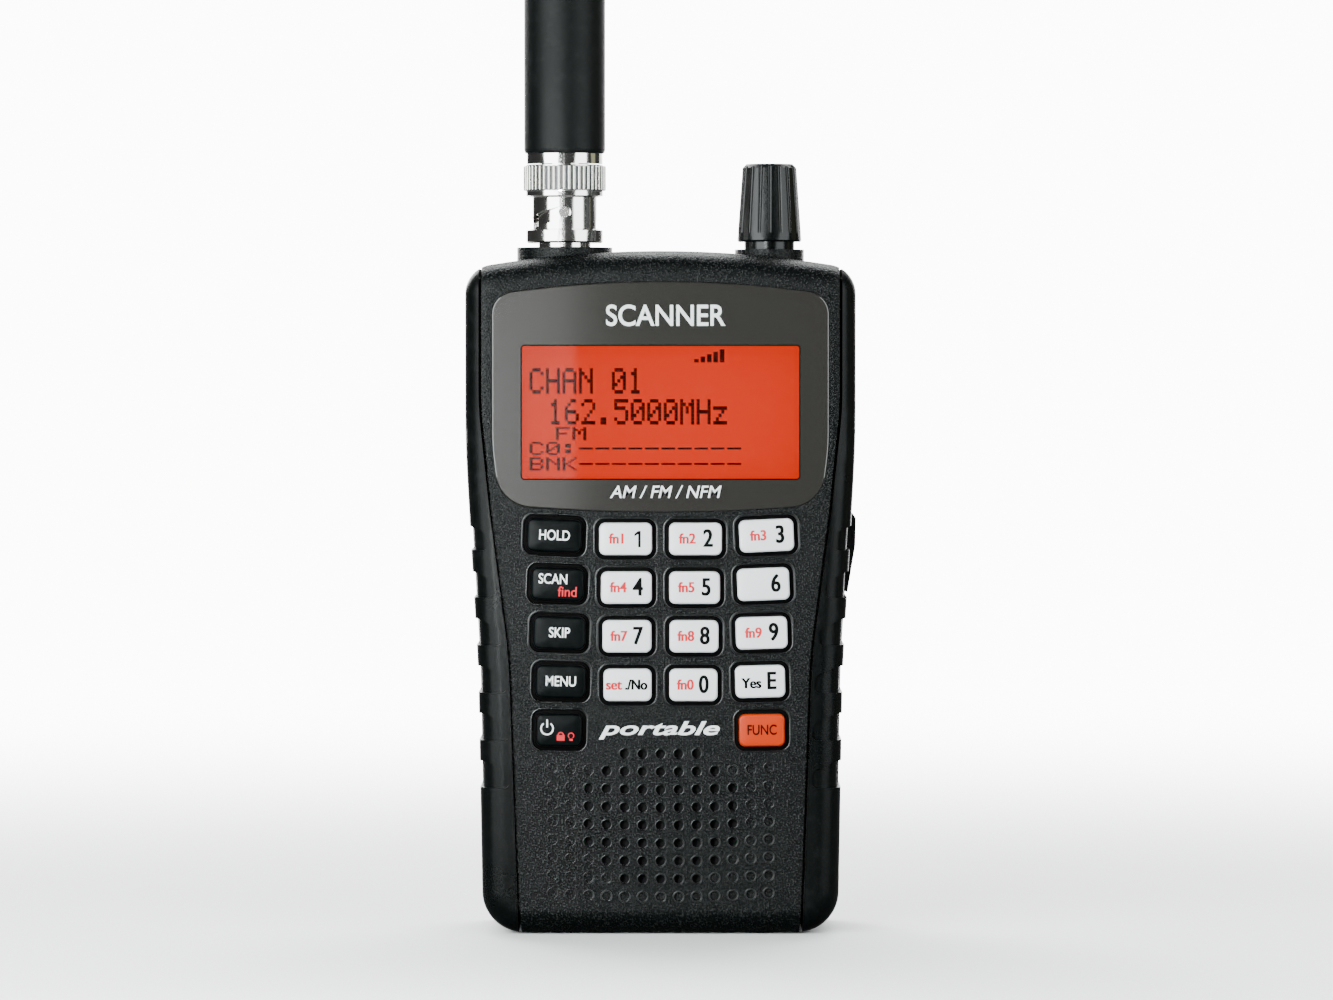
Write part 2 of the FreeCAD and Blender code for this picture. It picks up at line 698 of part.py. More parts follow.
def make_keypad_mat():
    sheet_body = plate("mat", "XZ_Plane", rectangle(-24.6, 32.6, 24.6, 74.0), 0.7, 11.2)
    cut_out_speaker(sheet_body, 11.0)
    domes = new_sketch(sheet_body, "XZ_Plane", 11.9)
    for _name, x, height, _width, _tilt in key_places():
        add_circle(domes, x, height, 1.9)
    pad(sheet_body, domes, 0.2)
    keep(sheet_body, "keypad_mat")


# ---- electronics ----------------------------------------------------------------------

def make_boards():
    front = plate("front_board", "XZ_Plane", rectangle(-27.5, 32.6, 27.5, 107.0),
                  "Dims.board_thick", 9.6)
    cut_out_speaker(front, 9.0)
    keep(front, "front_board")
    main = plate("main_board", "XZ_Plane", rectangle(-26.0, 14.0, 26.0, 104.0),
                 "Dims.board_thick", 2.0)
    keep(main, "main_board")
    outer = box("shield_outer", (-20, -6.6, 60), (20, -3.6, 95))
    inner = box("shield_inner", (-19.6, -6.2, 60.4), (19.6, -3.0, 94.6))
    keep(cut("shield", outer, inner), "rf_shield")


def make_phones_jack():
    """A 3.5 mm socket whose nose shows in the top."""
    nose = rod("phones_nose", 2.9, 4, "Dims.phones_x", "Dims.top_y", 115.4)
    case = box("phones_case", ("Dims.phones_x - 3.5", "Dims.top_y - 3.5", 104.2),
               ("Dims.phones_x + 3.5", "Dims.top_y + 3.5", 115.6))
    bore = rod("phones_way", "Dims.phones_bore", "Dims.phones_deep + 1",
               "Dims.phones_x", "Dims.top_y", "119.4 - Dims.phones_deep")
    keep(cut("phones", joined("phones_blank", nose, case), bore), "phones_jack")


def make_data_port():
    case = box("port_case", (24.0, "Dims.port_y - 1.7", "Dims.port_z - 4.1"),
               (30.6, "Dims.port_y + 1.7", "Dims.port_z + 4.1"))
    mouth = box("port_mouth", (25.5, "Dims.port_y - 1.3", "Dims.port_z - 3.7"),
                (31, "Dims.port_y + 1.3", "Dims.port_z + 3.7"))
    tongue = box("port_tongue", (25.0, "Dims.port_y - 0.35", "Dims.port_z - 2.8"),
                 (29.6, "Dims.port_y + 0.35", "Dims.port_z + 2.8"))
    keep(joined("port", cut("port_shell", case, mouth), tongue), "data_port")


def make_port_cover():
    """A rubber flap, thin at its tether and thick at its pull tab."""
    outline = [(32.8, 59.4), (33.3, 59.2), (34.7, 67.6), (34.8, 72.4), (34.3, 73.2), (33.65, 73.2)]
    body = plate("flap", "XZ_Plane", outline, 5.6, "-Dims.port_y", both=True)
    plug = new_sketch(body, "XZ_Plane", "-Dims.port_y")
    add_polygon(plug, [(31.2, 62.2), (33.3, 62.2), (34.0, 70.2), (31.2, 70.2)])
    pad(body, plug, 3.2, both=True)
    doc.recompute()
    keep(body, "port_cover")


# ---- speaker --------------------------------------------------------------------------

def speaker_part(name, profile, y):
    """A part of the speaker, spun about an axis that points out of the front."""
    return turned(name, profile, 0, y, "Dims.speaker_z", TO_FRONT)


def make_speaker():
    rim = "Dims.speaker_radius"
    cloth = [(0, 0), (rim, 0), (rim, 0.3), (0, 0.3)]
    keep(speaker_part("cloth", cloth, -13.3), "speaker_cloth")
    basket = [(7.6, 0), (8.8, 0), (rim, 2.8), (rim, 3.9), (12.9, 3.9), (12.9, 3.0),
              (8.0, 1.0), (7.6, 1.0)]
    keep(speaker_part("basket", basket, -9.4), "speaker_frame")
    cone = [(0, 2.1), (3.4, 1.6), (4.0, 1.2), (12.0, 3.1), (12.8, 3.1), (12.8, 3.4),
            (11.9, 3.4), (4.1, 1.5), (3.5, 1.9), (0, 2.4)]
    keep(speaker_part("cone", cone, -9.4), "speaker_cone")
    magnet = [(0, 0), (7.5, 0), (7.5, 3.6), (0, 3.6)]
    keep(speaker_part("magnet", magnet, -9.4 + 2.9), "speaker_magnet")


# ---- antenna --------------------------------------------------------------------------

def on_antenna(name, profile):
    return turned(name, profile, "Dims.antenna_x", "Dims.top_y", 0)


def make_jack():
    """The bayonet socket, with its two lugs, its insulator and its nut."""
    radius = "Dims.jack_radius"
    barrel = [(0, 109.5), (4.6, 109.5), (4.6, "Dims.ring_low"), (radius, "Dims.ring_low"),
              (radius, 130.9), (4.05, 130.9), (4.05, 122.0), (0, 122.0)]
    tube = on_antenna("jack_barrel", barrel)
    lugs = [rod("lug", 0.95, 1.1, "Dims.antenna_x", f"Dims.top_y + {sign} * 4.4", "Dims.lug_z",
                TO_FRONT if sign < 0 else TO_BACK) for sign in (-1, 1)]
    keep(joined("jack", tube, *lugs), "antenna_jack")
    sleeve = [(0, 122.0), (4.0, 122.0), (4.0, 122.8), (2.4, 122.8), (2.4, 129.5),
              (0.75, 129.5), (0.75, 123.0), (0, 123.0)]
    keep(on_antenna("insulator", sleeve), "jack_insulator")
    corners = [(f"Dims.antenna_x + {7.4 * math.cos(math.radians(60 * step)):.4f}",
                f"Dims.top_y + {7.4 * math.sin(math.radians(60 * step)):.4f}")
               for step in range(6)]
    hole = [("Dims.antenna_x", "Dims.top_y", 4.6)]
    keep(plate("nut", "XY_Plane", corners, 2.4, 111.1, holes=hole), "jack_nut")


def bayonet_slots():
    """Two slots that climb round the ring from its lower edge to a locking hole."""
    cuts = []
    steps = 15
    lug_z = value("Dims.lug_z")
    for start in (-90, 90):
        for step in range(steps + 1):
            angle = math.radians(start - 90 * step / steps)
            height = lug_z - value("Dims.ring_rise") * step / steps
            radius = 1.3 if step == 0 else 1.15
            way = Vector(math.cos(angle), math.sin(angle), 0)
            cuts.append(Part.makeCylinder(radius, 1.9, way * 4.0 + Vector(0, 0, height), way))
        entry = Part.makeBox(2.3, 2.3, 4, Vector(-1.15, 3.5, 120.8))
        entry.rotate(Vector(), Vector(0, 0, 1), start - 180)
        cuts.append(entry)
    return Part.makeCompound(cuts)


def make_coupling_ring():
    grip = "Dims.ring_radius"
    profile = [(5.0, "Dims.ring_low"), (6.5, "Dims.ring_low"), (6.75, "Dims.ring_low + 0.3"),
               (6.75, 123.4), (5.65, 123.7), (5.65, 129.2), (6.8, 129.5), (6.8, 130.2),
               (grip, 130.4), (grip, 134.7), ("Dims.ring_radius - 0.2", "Dims.ring_high"),
               (4.4, "Dims.ring_high"), (4.4, 133.1), (5.0, 133.1)]
    ring = on_antenna("ring_blank", profile)
    slots = bayonet_slots()
    slots.translate(Vector(value("Dims.antenna_x"), value("Dims.top_y"), 0))
    slotted = cut("ring", ring, solid("ring_slots", slots))
    keep(slotted, "coupling_ring")


def make_antenna():
    washer = [(4.35, 132.5), (4.9, 132.5), (4.9, 132.9), (4.35, 132.9)]
    keep(on_antenna("washer", washer), "spring_washer")
    plug = [(2.6, 124.2), (3.85, 124.2), (3.85, 131.3), (4.85, 131.3), (4.85, 132.3),
            (4.2, 132.3), (4.2, 135.1), (6.7, 135.1), (6.7, "Dims.whip_low"),
            (1.0, "Dims.whip_low"), (1.0, 131.0), (2.6, 131.0)]
    keep(on_antenna("plug", plug), "antenna_plug")
    pin = [(0, 123.6), (0.4, 123.4), (0.65, 124.2), (0.65, 131.0), (1.0, 131.0),
           (1.0, "Dims.whip_low"), (1.6, "Dims.whip_low"), (1.6, 141.0), (0, 141.0)]
    keep(on_antenna("contact", pin), "antenna_contact")
    radius = "Dims.whip_radius"
    tip = "Dims.whip_tip"
    high = "Dims.whip_high"
    sheath = [(1.6, "Dims.whip_low"), (f"{radius} - 0.4", "Dims.whip_low"),
              (radius, "Dims.whip_low + 0.5"), (radius, 182.0), (tip, f"{high} - 4.5"),
              (f"{tip} - 0.7", f"{high} - 2.0"), (f"{tip} - 2.2", f"{high} - 0.5"),
              (0, high), (0, f"{high} - 8"), (3.4, f"{high} - 8"), (3.4, 141.0), (1.6, 141.0)]
    keep(on_antenna("sheath", sheath), "antenna_sheath")
    coil = [(0, 141.0), (3.1, 141.0), (3.1, "Dims.whip_high - 9"), (0, "Dims.whip_high - 9")]
    keep(on_antenna("coil", coil), "antenna_coil")


# ---- control knob ---------------------------------------------------------------------

def on_knob(name, profile):
    return turned(name, profile, "Dims.knob_x", "Dims.top_y", 0)


def make_control():
    skirt = "Dims.knob_skirt"
    top = "Dims.knob_top"
    low = "Dims.knob_low"
    high = "Dims.knob_high"
    profile = [(3.05, 120.1), (4.4, 120.1), (4.4, low), (f"{skirt} - 0.2", low),
               (skirt, f"{low} + 0.3"), (f"{top} + 0.15", f"{high} - 0.7"),
               (f"{top} - 0.5", high), (0, high), (0, 131.2), (3.05, 131.2)]
    blank = on_knob("knob_blank", profile)
    count = int(value("Dims.knob_flutes"))
    flutes = []
    for index in range(count):
        angle = 2 * math.pi * (index + 0.5) / count
        way = Vector(math.cos(angle), math.sin(angle), 0)
        foot = way * (value(skirt) + 0.15) + Vector(0, 0, value(low) + 1.6)
        lean = Vector(0, 0, 1) * 14 - way * (value(skirt) - value(top))
        flutes.append(Part.makeCone(0.42, 0.5, 14, foot, lean))
    cutter = Part.makeCompound(flutes)
    cutter.translate(Vector(value("Dims.knob_x"), value("Dims.top_y"), 0))
    keep(cut("knob", blank, solid("knob_flutes", cutter)), "control_knob")

    radius = "Dims.shaft_radius"
    shaft = rod("shaft", radius, "131.2 - 108.6", "Dims.knob_x", "Dims.top_y", 108.6)
    keep(shaft, "encoder_shaft")
    case = box("encoder_case", ("Dims.knob_x - 5.6", "Dims.top_y - 5.6", 105.6),
               ("Dims.knob_x + 5.6", "Dims.top_y + 5.6", 112.4))
    bushing = rod("bushing", 3.6, "118.7 - 112", "Dims.knob_x", "Dims.top_y", 112)
    way = rod("shaft_way", "Dims.shaft_radius + 0.05", 12, "Dims.knob_x", "Dims.top_y", 108)
    room = rod("slider_room", 4.2, 5.2, "Dims.knob_x", "Dims.top_y", 106.6)
    blank = joined("encoder_blank", case, bushing)
    keep(cut("encoder", blank, way, room), "encoder_body")
    keep(rod("slider", 3.9, 1.0, "Dims.knob_x", "Dims.top_y", 107.6), "push_slider")


# ---- power ----------------------------------------------------------------------------

def make_batteries():
    cells = []
    for index in (-1, 0, 1):
        place = f"{index} * Dims.cell_pitch"
        can = rod("can", "Dims.cell_radius", "Dims.cell_length", place, "Dims.cell_y",
                  "Dims.cell_low")
        nub = rod("nub", 2.7, 1.2, place, "Dims.cell_y", "Dims.cell_low + Dims.cell_length - 0.2")
        cells.append(joined("cell", can, nub))
    keep(grouped("cells", cells), "battery_cells")
    contacts = []
    for index in (-1, 0, 1):
        place = value("Dims.cell_pitch") * index
        centre = Vector(place, value("Dims.cell_y"), 0)
        coils = Part.makeCylinder(3.6, 0.4, centre + Vector(0, 0, 8.6))
        for turn, radius in enumerate((3.1, 2.6, 2.1)):
            ring = Part.makeTorus(radius, 0.45, centre + Vector(0, 0, 9.35 + 0.7 * turn))
            coils = coils.fuse(ring)
        post = Part.makeCylinder(0.45, 2.1, centre + Vector(2.6, 0, 8.9))
        contacts.append(coils.fuse(post).removeSplitter())
        leaf = Part.makeBox(7, 7, 0.5, centre + Vector(-3.5, -3.5, 64.5))
        bump = Part.makeCylinder(2.0, 2.2, centre + Vector(0, 0, 62.3))
        contacts.append(leaf.fuse(bump).removeSplitter())
    keep(solid("contacts", Part.makeCompound(contacts)), "battery_contacts")


# ---- belt clip ------------------------------------------------------------------------

def make_clip():
    back = "Dims.body_depth / 2"
    pin_y = "Dims.clip_pin_y"
    pin_z = "Dims.clip_pin_z"
    base = box("clip_base", (-10, back, 88), (10, f"{back} + 1.6", 112))
    ears = []
    for sign in (-1, 1):
        left = 6.4 if sign > 0 else -8.2
        ears.append(box("ear_foot", (left, f"{back} + 1", f"{pin_z} - 2.6"),
                        (left + 1.8, pin_y, f"{pin_z} + 2.6")))
        ears.append(rod("ear_end", 1.7, 1.8, left, pin_y, pin_z, TO_RIGHT))
    ways = [rod("pin_way", 1.0, 20, -10, pin_y, pin_z, TO_RIGHT)]
    ways += [rod("clip_screw_way", 1.2, 5, 0, 15, z, TO_BACK) for z in CLIP_SCREW_Z]
    keep(cut("bracket", joined("bracket_blank", base, *ears), *ways), "clip_bracket")

    thick = "Dims.clip_thick"
    inner = f"{pin_y} + 2.1"
    arm = [(inner, 113), (inner, 70.5), (17.0, 62.8), (18.3, 57.6), (19.9, 58.0),
           (18.9, 62.3), (f"{inner} + {thick}", 69.9), (f"{inner} + {thick}", 113)]
    arm_body = plate("arm", "YZ_Plane", arm, "2 * Dims.clip_half", both=True)
    lugs = []
    for left in (-6.1, 3.3):
        lugs.append(rod("knuckle", 1.9, 2.8, left, pin_y, pin_z, TO_RIGHT))
        lugs.append(box("knuckle_web", (left, pin_y, f"{pin_z} - 1.9"),
                        (left + 2.8, f"{inner} + 0.5", f"{pin_z} + 1.9")))
    ridges = [box("ridge", (-6, 23.2, 105.5 + 1.7 * step), (6, 24.0, 106.3 + 1.7 * step))
              for step in range(4)]
    bore = rod("knuckle_bore", 1.06, 20, -10, pin_y, pin_z, TO_RIGHT)
    lever = cut("lever", joined("lever_blank", arm_body, *lugs, *ridges), bore)
    keep(lever, "clip_lever")
    keep(rod("pin", 1.0, 16.4, -8.2, pin_y, pin_z, TO_RIGHT), "clip_pin")

    turns = [Part.makeTorus(1.55, 0.32, Vector(-2.2 + 0.62 * step, 0, 0), Vector(1, 0, 0))
             for step in range(8)]
    legs = [Part.makeCylinder(0.3, 4, Vector(-2.2, -1.55, 0.0), Vector(0, 0, -1)),
            Part.makeCylinder(0.3, 4, Vector(2.14, -1.55, 0.0), Vector(0, 0, 1))]
    coil = turns[0].multiFuse(turns[1:] + legs)
    spring = solid("spring", coil)
    placed(spring, 0, pin_y, pin_z)
    keep(spring, "clip_spring")
    screws = []
    for z in CLIP_SCREW_Z:
        shank = rod("clip_shank", 1.2, 7, 0, 10.6, z, TO_BACK)
        head = rod("clip_head", 2.2, 1.2, 0, f"{back} + 1.6", z, TO_BACK)
        slot = box("clip_slot", (-1.4, f"{back} + 2.2", z - 0.3), (1.4, 20, z + 0.3))
        screws.append(cut("clip_screw", joined("clip_screw_blank", shank, head), slot))
    keep(grouped("clip_screw_set", screws), "clip_screws")


# ---- build, check and write -----------------------------------------------------------

def check_document():
    """Stop if any object failed or any finished piece is empty or invalid."""
    faults = [f"{thing.Label}: {thing.State}" for thing in doc.Objects
              if "Invalid" in thing.State or "Error" in thing.State]
    for thing in nodes:
        shape = thing.Shape
        if shape.isNull() or not shape.isValid() or not shape.Solids:
            faults.append(f"{thing.Label}: no valid solid")
    if faults:
        raise RuntimeError("; ".join(faults))


def write_parts():
    os.makedirs("parts", exist_ok=True)
    for thing in nodes:
        thing.Shape.exportStep(f"parts/{thing.Label}.step")
        print(f"{thing.Label:18s} {len(thing.Shape.Solids):3d} {thing.Shape.Volume:10.1f}")


def main():
    fill_sheet()
    whole, skin, shallow, hollow = make_casing_forms()
    make_front_housing(whole, skin, hollow)
    make_rear_housing(whole, hollow)
    make_grips(whole, skin, shallow)
    make_battery_door(whole)
    make_screws()
    make_display()
    make_keys()
    make_keypad_mat()
    make_boards()
    make_phones_jack()
    make_data_port()
    make_port_cover()
    make_speaker()
    make_jack()
    make_coupling_ring()
    make_antenna()
    make_control()
    make_batteries()
    make_clip()
    doc.recompute()
    check_document()
    write_parts()
    print(len(nodes), "pieces")


main()
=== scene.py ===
"""Looks of a handheld scanner receiver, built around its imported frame.

Every size is in metres. +X is to the right of the display, +Z is up, the display faces -Y.
"""

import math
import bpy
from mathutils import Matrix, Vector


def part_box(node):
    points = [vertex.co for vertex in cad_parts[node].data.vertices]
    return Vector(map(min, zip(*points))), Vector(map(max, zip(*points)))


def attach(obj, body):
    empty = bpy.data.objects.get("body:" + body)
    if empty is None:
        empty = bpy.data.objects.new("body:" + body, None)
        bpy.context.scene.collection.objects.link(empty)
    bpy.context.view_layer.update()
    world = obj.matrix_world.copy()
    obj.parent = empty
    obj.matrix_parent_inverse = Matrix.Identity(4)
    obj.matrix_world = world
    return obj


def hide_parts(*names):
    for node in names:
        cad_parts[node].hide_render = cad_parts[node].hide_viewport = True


bl_info = {
    "name": "Handheld scanner receiver",
    "version": (1, 0, 0),
    "blender": (4, 5, 0),
    "location": "View3D > Sidebar > Scanner",
    "description": "Builds the finished pieces of a handheld scanner on its packed frame",
    "category": "Object",
}

from collections import namedtuple

import bmesh
import bpy
from bpy.props import FloatProperty, FloatVectorProperty, IntProperty, PointerProperty
from mathutils import Matrix, Vector

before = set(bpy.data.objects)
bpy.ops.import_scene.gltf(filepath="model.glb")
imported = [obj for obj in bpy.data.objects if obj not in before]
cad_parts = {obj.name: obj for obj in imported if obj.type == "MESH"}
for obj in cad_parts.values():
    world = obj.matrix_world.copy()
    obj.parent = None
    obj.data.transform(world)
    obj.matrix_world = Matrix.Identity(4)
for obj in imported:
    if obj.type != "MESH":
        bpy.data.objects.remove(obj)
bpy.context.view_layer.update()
FRONT_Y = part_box("side_grip_left")[0][1]
KEY_ROWS = [
    ["key_hold", "key_1", "key_2", "key_3"],
    ["key_scan", "key_4", "key_5", "key_6"],
    ["key_skip", "key_7", "key_8", "key_9"],
    ["key_menu", "key_no", "key_0", "key_enter"],
    ["key_power", None, None, "key_func"],
]
KEY_TILTS = [2.5, 2.2, 1.8, 1.4, 0.8]
KEY_INSET = 0.00004     # cap tops stay this far inside the frame's caps
INK = 0.00001           # thickness of anything printed
BOLD_RED = 0.00006      # sideways shift of the doubled copies of bold letters
BOLD_BLACK = 0.00007
SECOND_COPY = 0.000006  # rise of the second copy, so that the two don't share a face
WELL_GAP = 0.00092      # from a cap's edge to the lip of its well
WELL_CORNER = 0.0019
CAP_CORNER = 0.0011
CAP_CROWN = 0.00012     # rise of a cap's top towards its middle
MERGE = 2e-6            # points of the frame's meshes closer than this are one
CAPITAL = 0.72          # height of a capital as a share of the font's size
BACKDROP = 12.0         # brightness that the camera sees behind the object
SURROUND = 0.04         # brightness of the same surroundings in reflections
COOL_LIGHT = (0.94, 1.0, 1.0)
WHITE = (1.0, 1.0, 1.0)


# ---- sizes and colours that a user would change ----------------------------------------

def length(name, description, default):
    return FloatProperty(name=name, description=description, default=default,
                         unit="LENGTH", precision=5)


def colour(name, description, default):
    return FloatVectorProperty(name=name, description=description, default=default,
                               subtype="COLOR", size=3, min=0.0, max=1.0)


class ScannerSizes(bpy.types.PropertyGroup):
    """Sizes of the details that are added to the frame."""

    window_width: length("Window width", "Width of the lit display", 0.0486)
    window_height: length("Window height", "Height of the lit display", 0.0234)
    window_middle: length("Window middle", "Height of the display's middle", 0.0915)
    dot_width: length("Dot width", "Width of one dot of the display", 0.00048)
    tall_dot: length("Tall dot", "Height of a dot in the large rows", 0.00064)
    low_dot: length("Low dot", "Height of a dot in the small rows", 0.00033)
    digit_height: length("Digit height", "Height of the digits on the keys", 0.0031)
    word_height: length("Word height", "Height of the words on the keys", 0.00178)
    small_height: length("Small legend", "Height of the red legends", 0.0018)
    lip_size: length("Lip", "Thickness of the lip round a key well", 0.00022)
    knurl_count: IntProperty(name="Knurls", description="Ribs round the coupling ring",
                             default=48, min=12)
    knurl_radius: length("Knurl radius", "Radius of one rib of the coupling ring", 0.00028)
    hole_rim: length("Hole rim", "Thickness of the rim of a speaker hole", 0.00015)


class ScannerColours(bpy.types.PropertyGroup):
    """Colours of the main finishes."""

    case: colour("Case", "Textured case plastic", (0.0016, 0.0024, 0.0023))
    grip: colour("Grips", "Satin side grips", (0.0014, 0.0021, 0.0020))
    cover: colour("Cover", "Printed display cover", (0.0210, 0.0200, 0.0178))
    glow: colour("Glow", "Back light of the display", (1.0, 0.030, 0.0))
    dots: colour("Dots", "Dark dots of the display", (0.040, 0.0010, 0.0005))
    key_black: colour("Black keys", "Black key caps", (0.0012, 0.0022, 0.0024))
    key_white: colour("White keys", "White key caps", (0.74, 0.75, 0.77))
    key_orange: colour("Orange key", "Function key cap", (0.42, 0.029, 0.002))
    legend_red: colour("Red legends", "Second legends of the keys", (0.55, 0.030, 0.038))
    metal: colour("Metal", "Bright plating", (0.83, 0.82, 0.79))
    rubber: colour("Rubber", "Antenna rubber", (0.0016, 0.0024, 0.0023))


def sizes():
    return bpy.context.scene.scanner_sizes


def colours():
    return bpy.context.scene.scanner_colours


# ---- node trees -------------------------------------------------------------------------

def new_tree(kind, name, inputs, outputs):
    """A node tree with named sockets; returns the tree, its input and its output node."""
    tree = bpy.data.node_groups.new(name, kind)
    for label, socket_kind, default in inputs:
        socket = tree.interface.new_socket(label, in_out="INPUT", socket_type=socket_kind)
        if default is not None:
            socket.default_value = default
    for label, socket_kind in outputs:
        tree.interface.new_socket(label, in_out="OUTPUT", socket_type=socket_kind)
    return tree, tree.nodes.new("NodeGroupInput"), tree.nodes.new("NodeGroupOutput")


def feed(tree, node, inputs):
    """Set a node's inputs to plain values, or link them to sockets of other nodes."""
    for label, source in inputs.items():
        socket = node.inputs[label]
        if isinstance(source, bpy.types.NodeSocket):
            tree.links.new(source, socket)
        else:
            socket.default_value = source


def add_node(tree, kind, inputs, **settings):
    """A new node with its settings made and its inputs fed; returns its outputs."""
    node = tree.nodes.new(kind)
    for label, choice in settings.items():
        setattr(node, label, choice)
    feed(tree, node, inputs)
    return node.outputs


def maths(tree, operation, *sources):
    """A math node fed by sockets or plain numbers; returns its output."""
    return add_node(tree, "ShaderNodeMath", dict(enumerate(sources)), operation=operation)[0]


def noise(tree, vector, scale, detail):
    inputs = {"Vector": vector, "Scale": scale, "Detail": detail}
    return add_node(tree, "ShaderNodeTexNoise", inputs)["Fac"]


def spread(tree, source, low, high, **settings):
    """Stretch a value between two limits to the range from 0 to 1."""
    inputs = {"Value": source, "From Min": low, "From Max": high}
    return add_node(tree, "ShaderNodeMapRange", inputs, **settings)["Result"]


def blend_colours(tree, factor, first, second):
    inputs = {"Factor": factor, "A": (*first, 1.0), "B": (*second, 1.0)}
    return add_node(tree, "ShaderNodeMix", inputs, data_type="RGBA")["Result"]


def object_place(tree):
    return add_node(tree, "ShaderNodeTexCoord", {})["Object"]


def camera_ray(tree):
    return add_node(tree, "ShaderNodeLightPath", {})["Is Camera Ray"]


# ---- shader node groups -----------------------------------------------------------------

def grain_group():
    """Moulded grain: a height for bump, and a mask of the grains that would catch light, used
    to paint glints into the colour.
    """
    group, inside, outside = new_tree(
        "ShaderNodeTree", "moulded_grain",
        [("Vector", "NodeSocketVector", None), ("Scale", "NodeSocketFloat", 2600.0)],
        [("Height", "NodeSocketFloat"), ("Sparkle", "NodeSocketFloat")])
    vector, scale = inside.outputs["Vector"], inside.outputs["Scale"]
    coarse = noise(group, vector, scale, 2.0)
    finer = maths(group, "MULTIPLY", scale, 2.3)
    fine = noise(group, vector, finer, 1.0)
    feed(group, outside, {"Height": maths(group, "MULTIPLY_ADD", fine, 0.45, coarse),
                          "Sparkle": spread(group, coarse, 0.55, 0.64)})


def wear_group():
    """Handling wear: broad smudges and fine rubbing."""
    group, inside, outside = new_tree(
        "ShaderNodeTree", "handling_wear",
        [("Vector", "NodeSocketVector", None), ("Amount", "NodeSocketFloat", 0.5)],
        [("Smudge", "NodeSocketFloat"), ("Rub", "NodeSocketFloat")])
    vector, amount = inside.outputs["Vector"], inside.outputs["Amount"]
    broad = spread(group, noise(group, vector, 38.0, 4.0), 0.38, 0.68)
    fine = spread(group, noise(group, vector, 420.0, 5.0), 0.52, 0.72)
    rubbed = maths(group, "MULTIPLY", fine, broad)
    feed(group, outside, {"Smudge": maths(group, "MULTIPLY", broad, amount),
                          "Rub": maths(group, "MULTIPLY", rubbed, amount)})


def dust_group():
    """Dust that settles on what faces up."""
    group, inside, outside = new_tree(
        "ShaderNodeTree", "settled_dust",
        [("Vector", "NodeSocketVector", None), ("Normal", "NodeSocketVector", None),
         ("Amount", "NodeSocketFloat", 0.2)],
        [("Dust", "NodeSocketFloat")])
    split = add_node(group, "ShaderNodeSeparateXYZ", {"Vector": inside.outputs["Normal"]})
    upward = spread(group, split["Z"], 0.5, 1.0)
    specks = spread(group, noise(group, inside.outputs["Vector"], 900.0, 3.0), 0.5, 0.75)
    dust = maths(group, "MULTIPLY", upward, specks)
    feed(group, outside, {"Dust": maths(group, "MULTIPLY", dust, inside.outputs["Amount"])})


# ---- materials --------------------------------------------------------------------------

def new_material(name):
    """A node material; returns it with its tree and its shader."""
    material = bpy.data.materials.new(name)
    material.use_nodes = True
    return material, material.node_tree, material.node_tree.nodes["Principled BSDF"]


def add_group(tree, name, **inputs):
    return add_node(tree, "ShaderNodeGroup", inputs, node_tree=bpy.data.node_groups[name])


def lighter(rgb, gain, lift=0.0):
    return tuple(min(1.0, part * gain + lift) for part in rgb)


def finish_material(name, rgb, roughness, grain=0.0, scale=2600.0, wear=0.4, dust=0.1,
                    metallic=0.0, coat=0.0, painted_glint=0.0, specular=0.5):
    """A material whose grain, wear and dust come from the shared groups, with glints painted on
    its grain; returns its shader.
    """
    tree, shader = new_material(name)[1:]
    place = object_place(tree)
    facing = add_node(tree, "ShaderNodeNewGeometry", {})["Normal"]
    grains = add_group(tree, "moulded_grain", Vector=place, Scale=scale)
    worn = add_group(tree, "handling_wear", Vector=place, Amount=wear)
    dusty = add_group(tree, "settled_dust", Vector=place, Normal=facing, Amount=dust)
    # Lift the colour for real dust and rubbing, and paint glints where the grain mask picks out
    # grains that would catch light; the same mask also roughens those grains.
    lift = maths(tree, "MULTIPLY_ADD", grains["Sparkle"], painted_glint, dusty["Dust"])
    lift = maths(tree, "MULTIPLY_ADD", worn["Rub"], 0.25, lift)
    rough = maths(tree, "MULTIPLY_ADD", worn["Smudge"], 0.18, roughness)
    rough = maths(tree, "MULTIPLY_ADD", grains["Sparkle"], 0.40 * painted_glint, rough)
    feed(tree, shader, {
        "Base Color": blend_colours(tree, lift, rgb, lighter(rgb, 1.6, 0.035)),
        "Roughness": rough, "Metallic": metallic, "Coat Weight": coat,
        "Coat Roughness": 0.12, "Specular IOR Level": specular})
    if grain:
        inputs = {"Strength": 1.0, "Distance": grain, "Height": grains["Height"]}
        bump = add_node(tree, "ShaderNodeBump", inputs)
        feed(tree, shader, {"Normal": bump["Normal"]})
    return shader


def glowing_material(name, rgb, strength):
    """The lit display: brighter in its middle, dimmer towards its edges."""
    tree, shader = new_material(name)[1:]
    place = object_place(tree)
    centre = (0.0, 0.0, -sizes().window_middle)
    centred = add_node(tree, "ShaderNodeMapping", {"Vector": place, "Location": centre})[0]
    split = add_node(tree, "ShaderNodeSeparateXYZ", {"Vector": centred})
    sides = []
    for axis, span in (("X", sizes().window_width), ("Z", sizes().window_height)):
        share = maths(tree, "ABSOLUTE", maths(tree, "MULTIPLY", split[axis], 1.0 / span))
        sides.append(maths(tree, "POWER", share, 3.0))
    edge = spread(tree, maths(tree, "ADD", *sides), 0.0, 0.22)
    cloudy = maths(tree, "MULTIPLY_ADD", noise(tree, place, 60.0, 2.0), 0.12, edge)
    feed(tree, shader, {
        "Emission Color": blend_colours(tree, cloudy, lighter(rgb, 1.0, 0.012),
                                        lighter(rgb, 0.86)),
        "Emission Strength": strength, "Base Color": (0.03, 0.002, 0.0, 1.0),
        "Roughness": 0.6, "Specular IOR Level": 0.05})


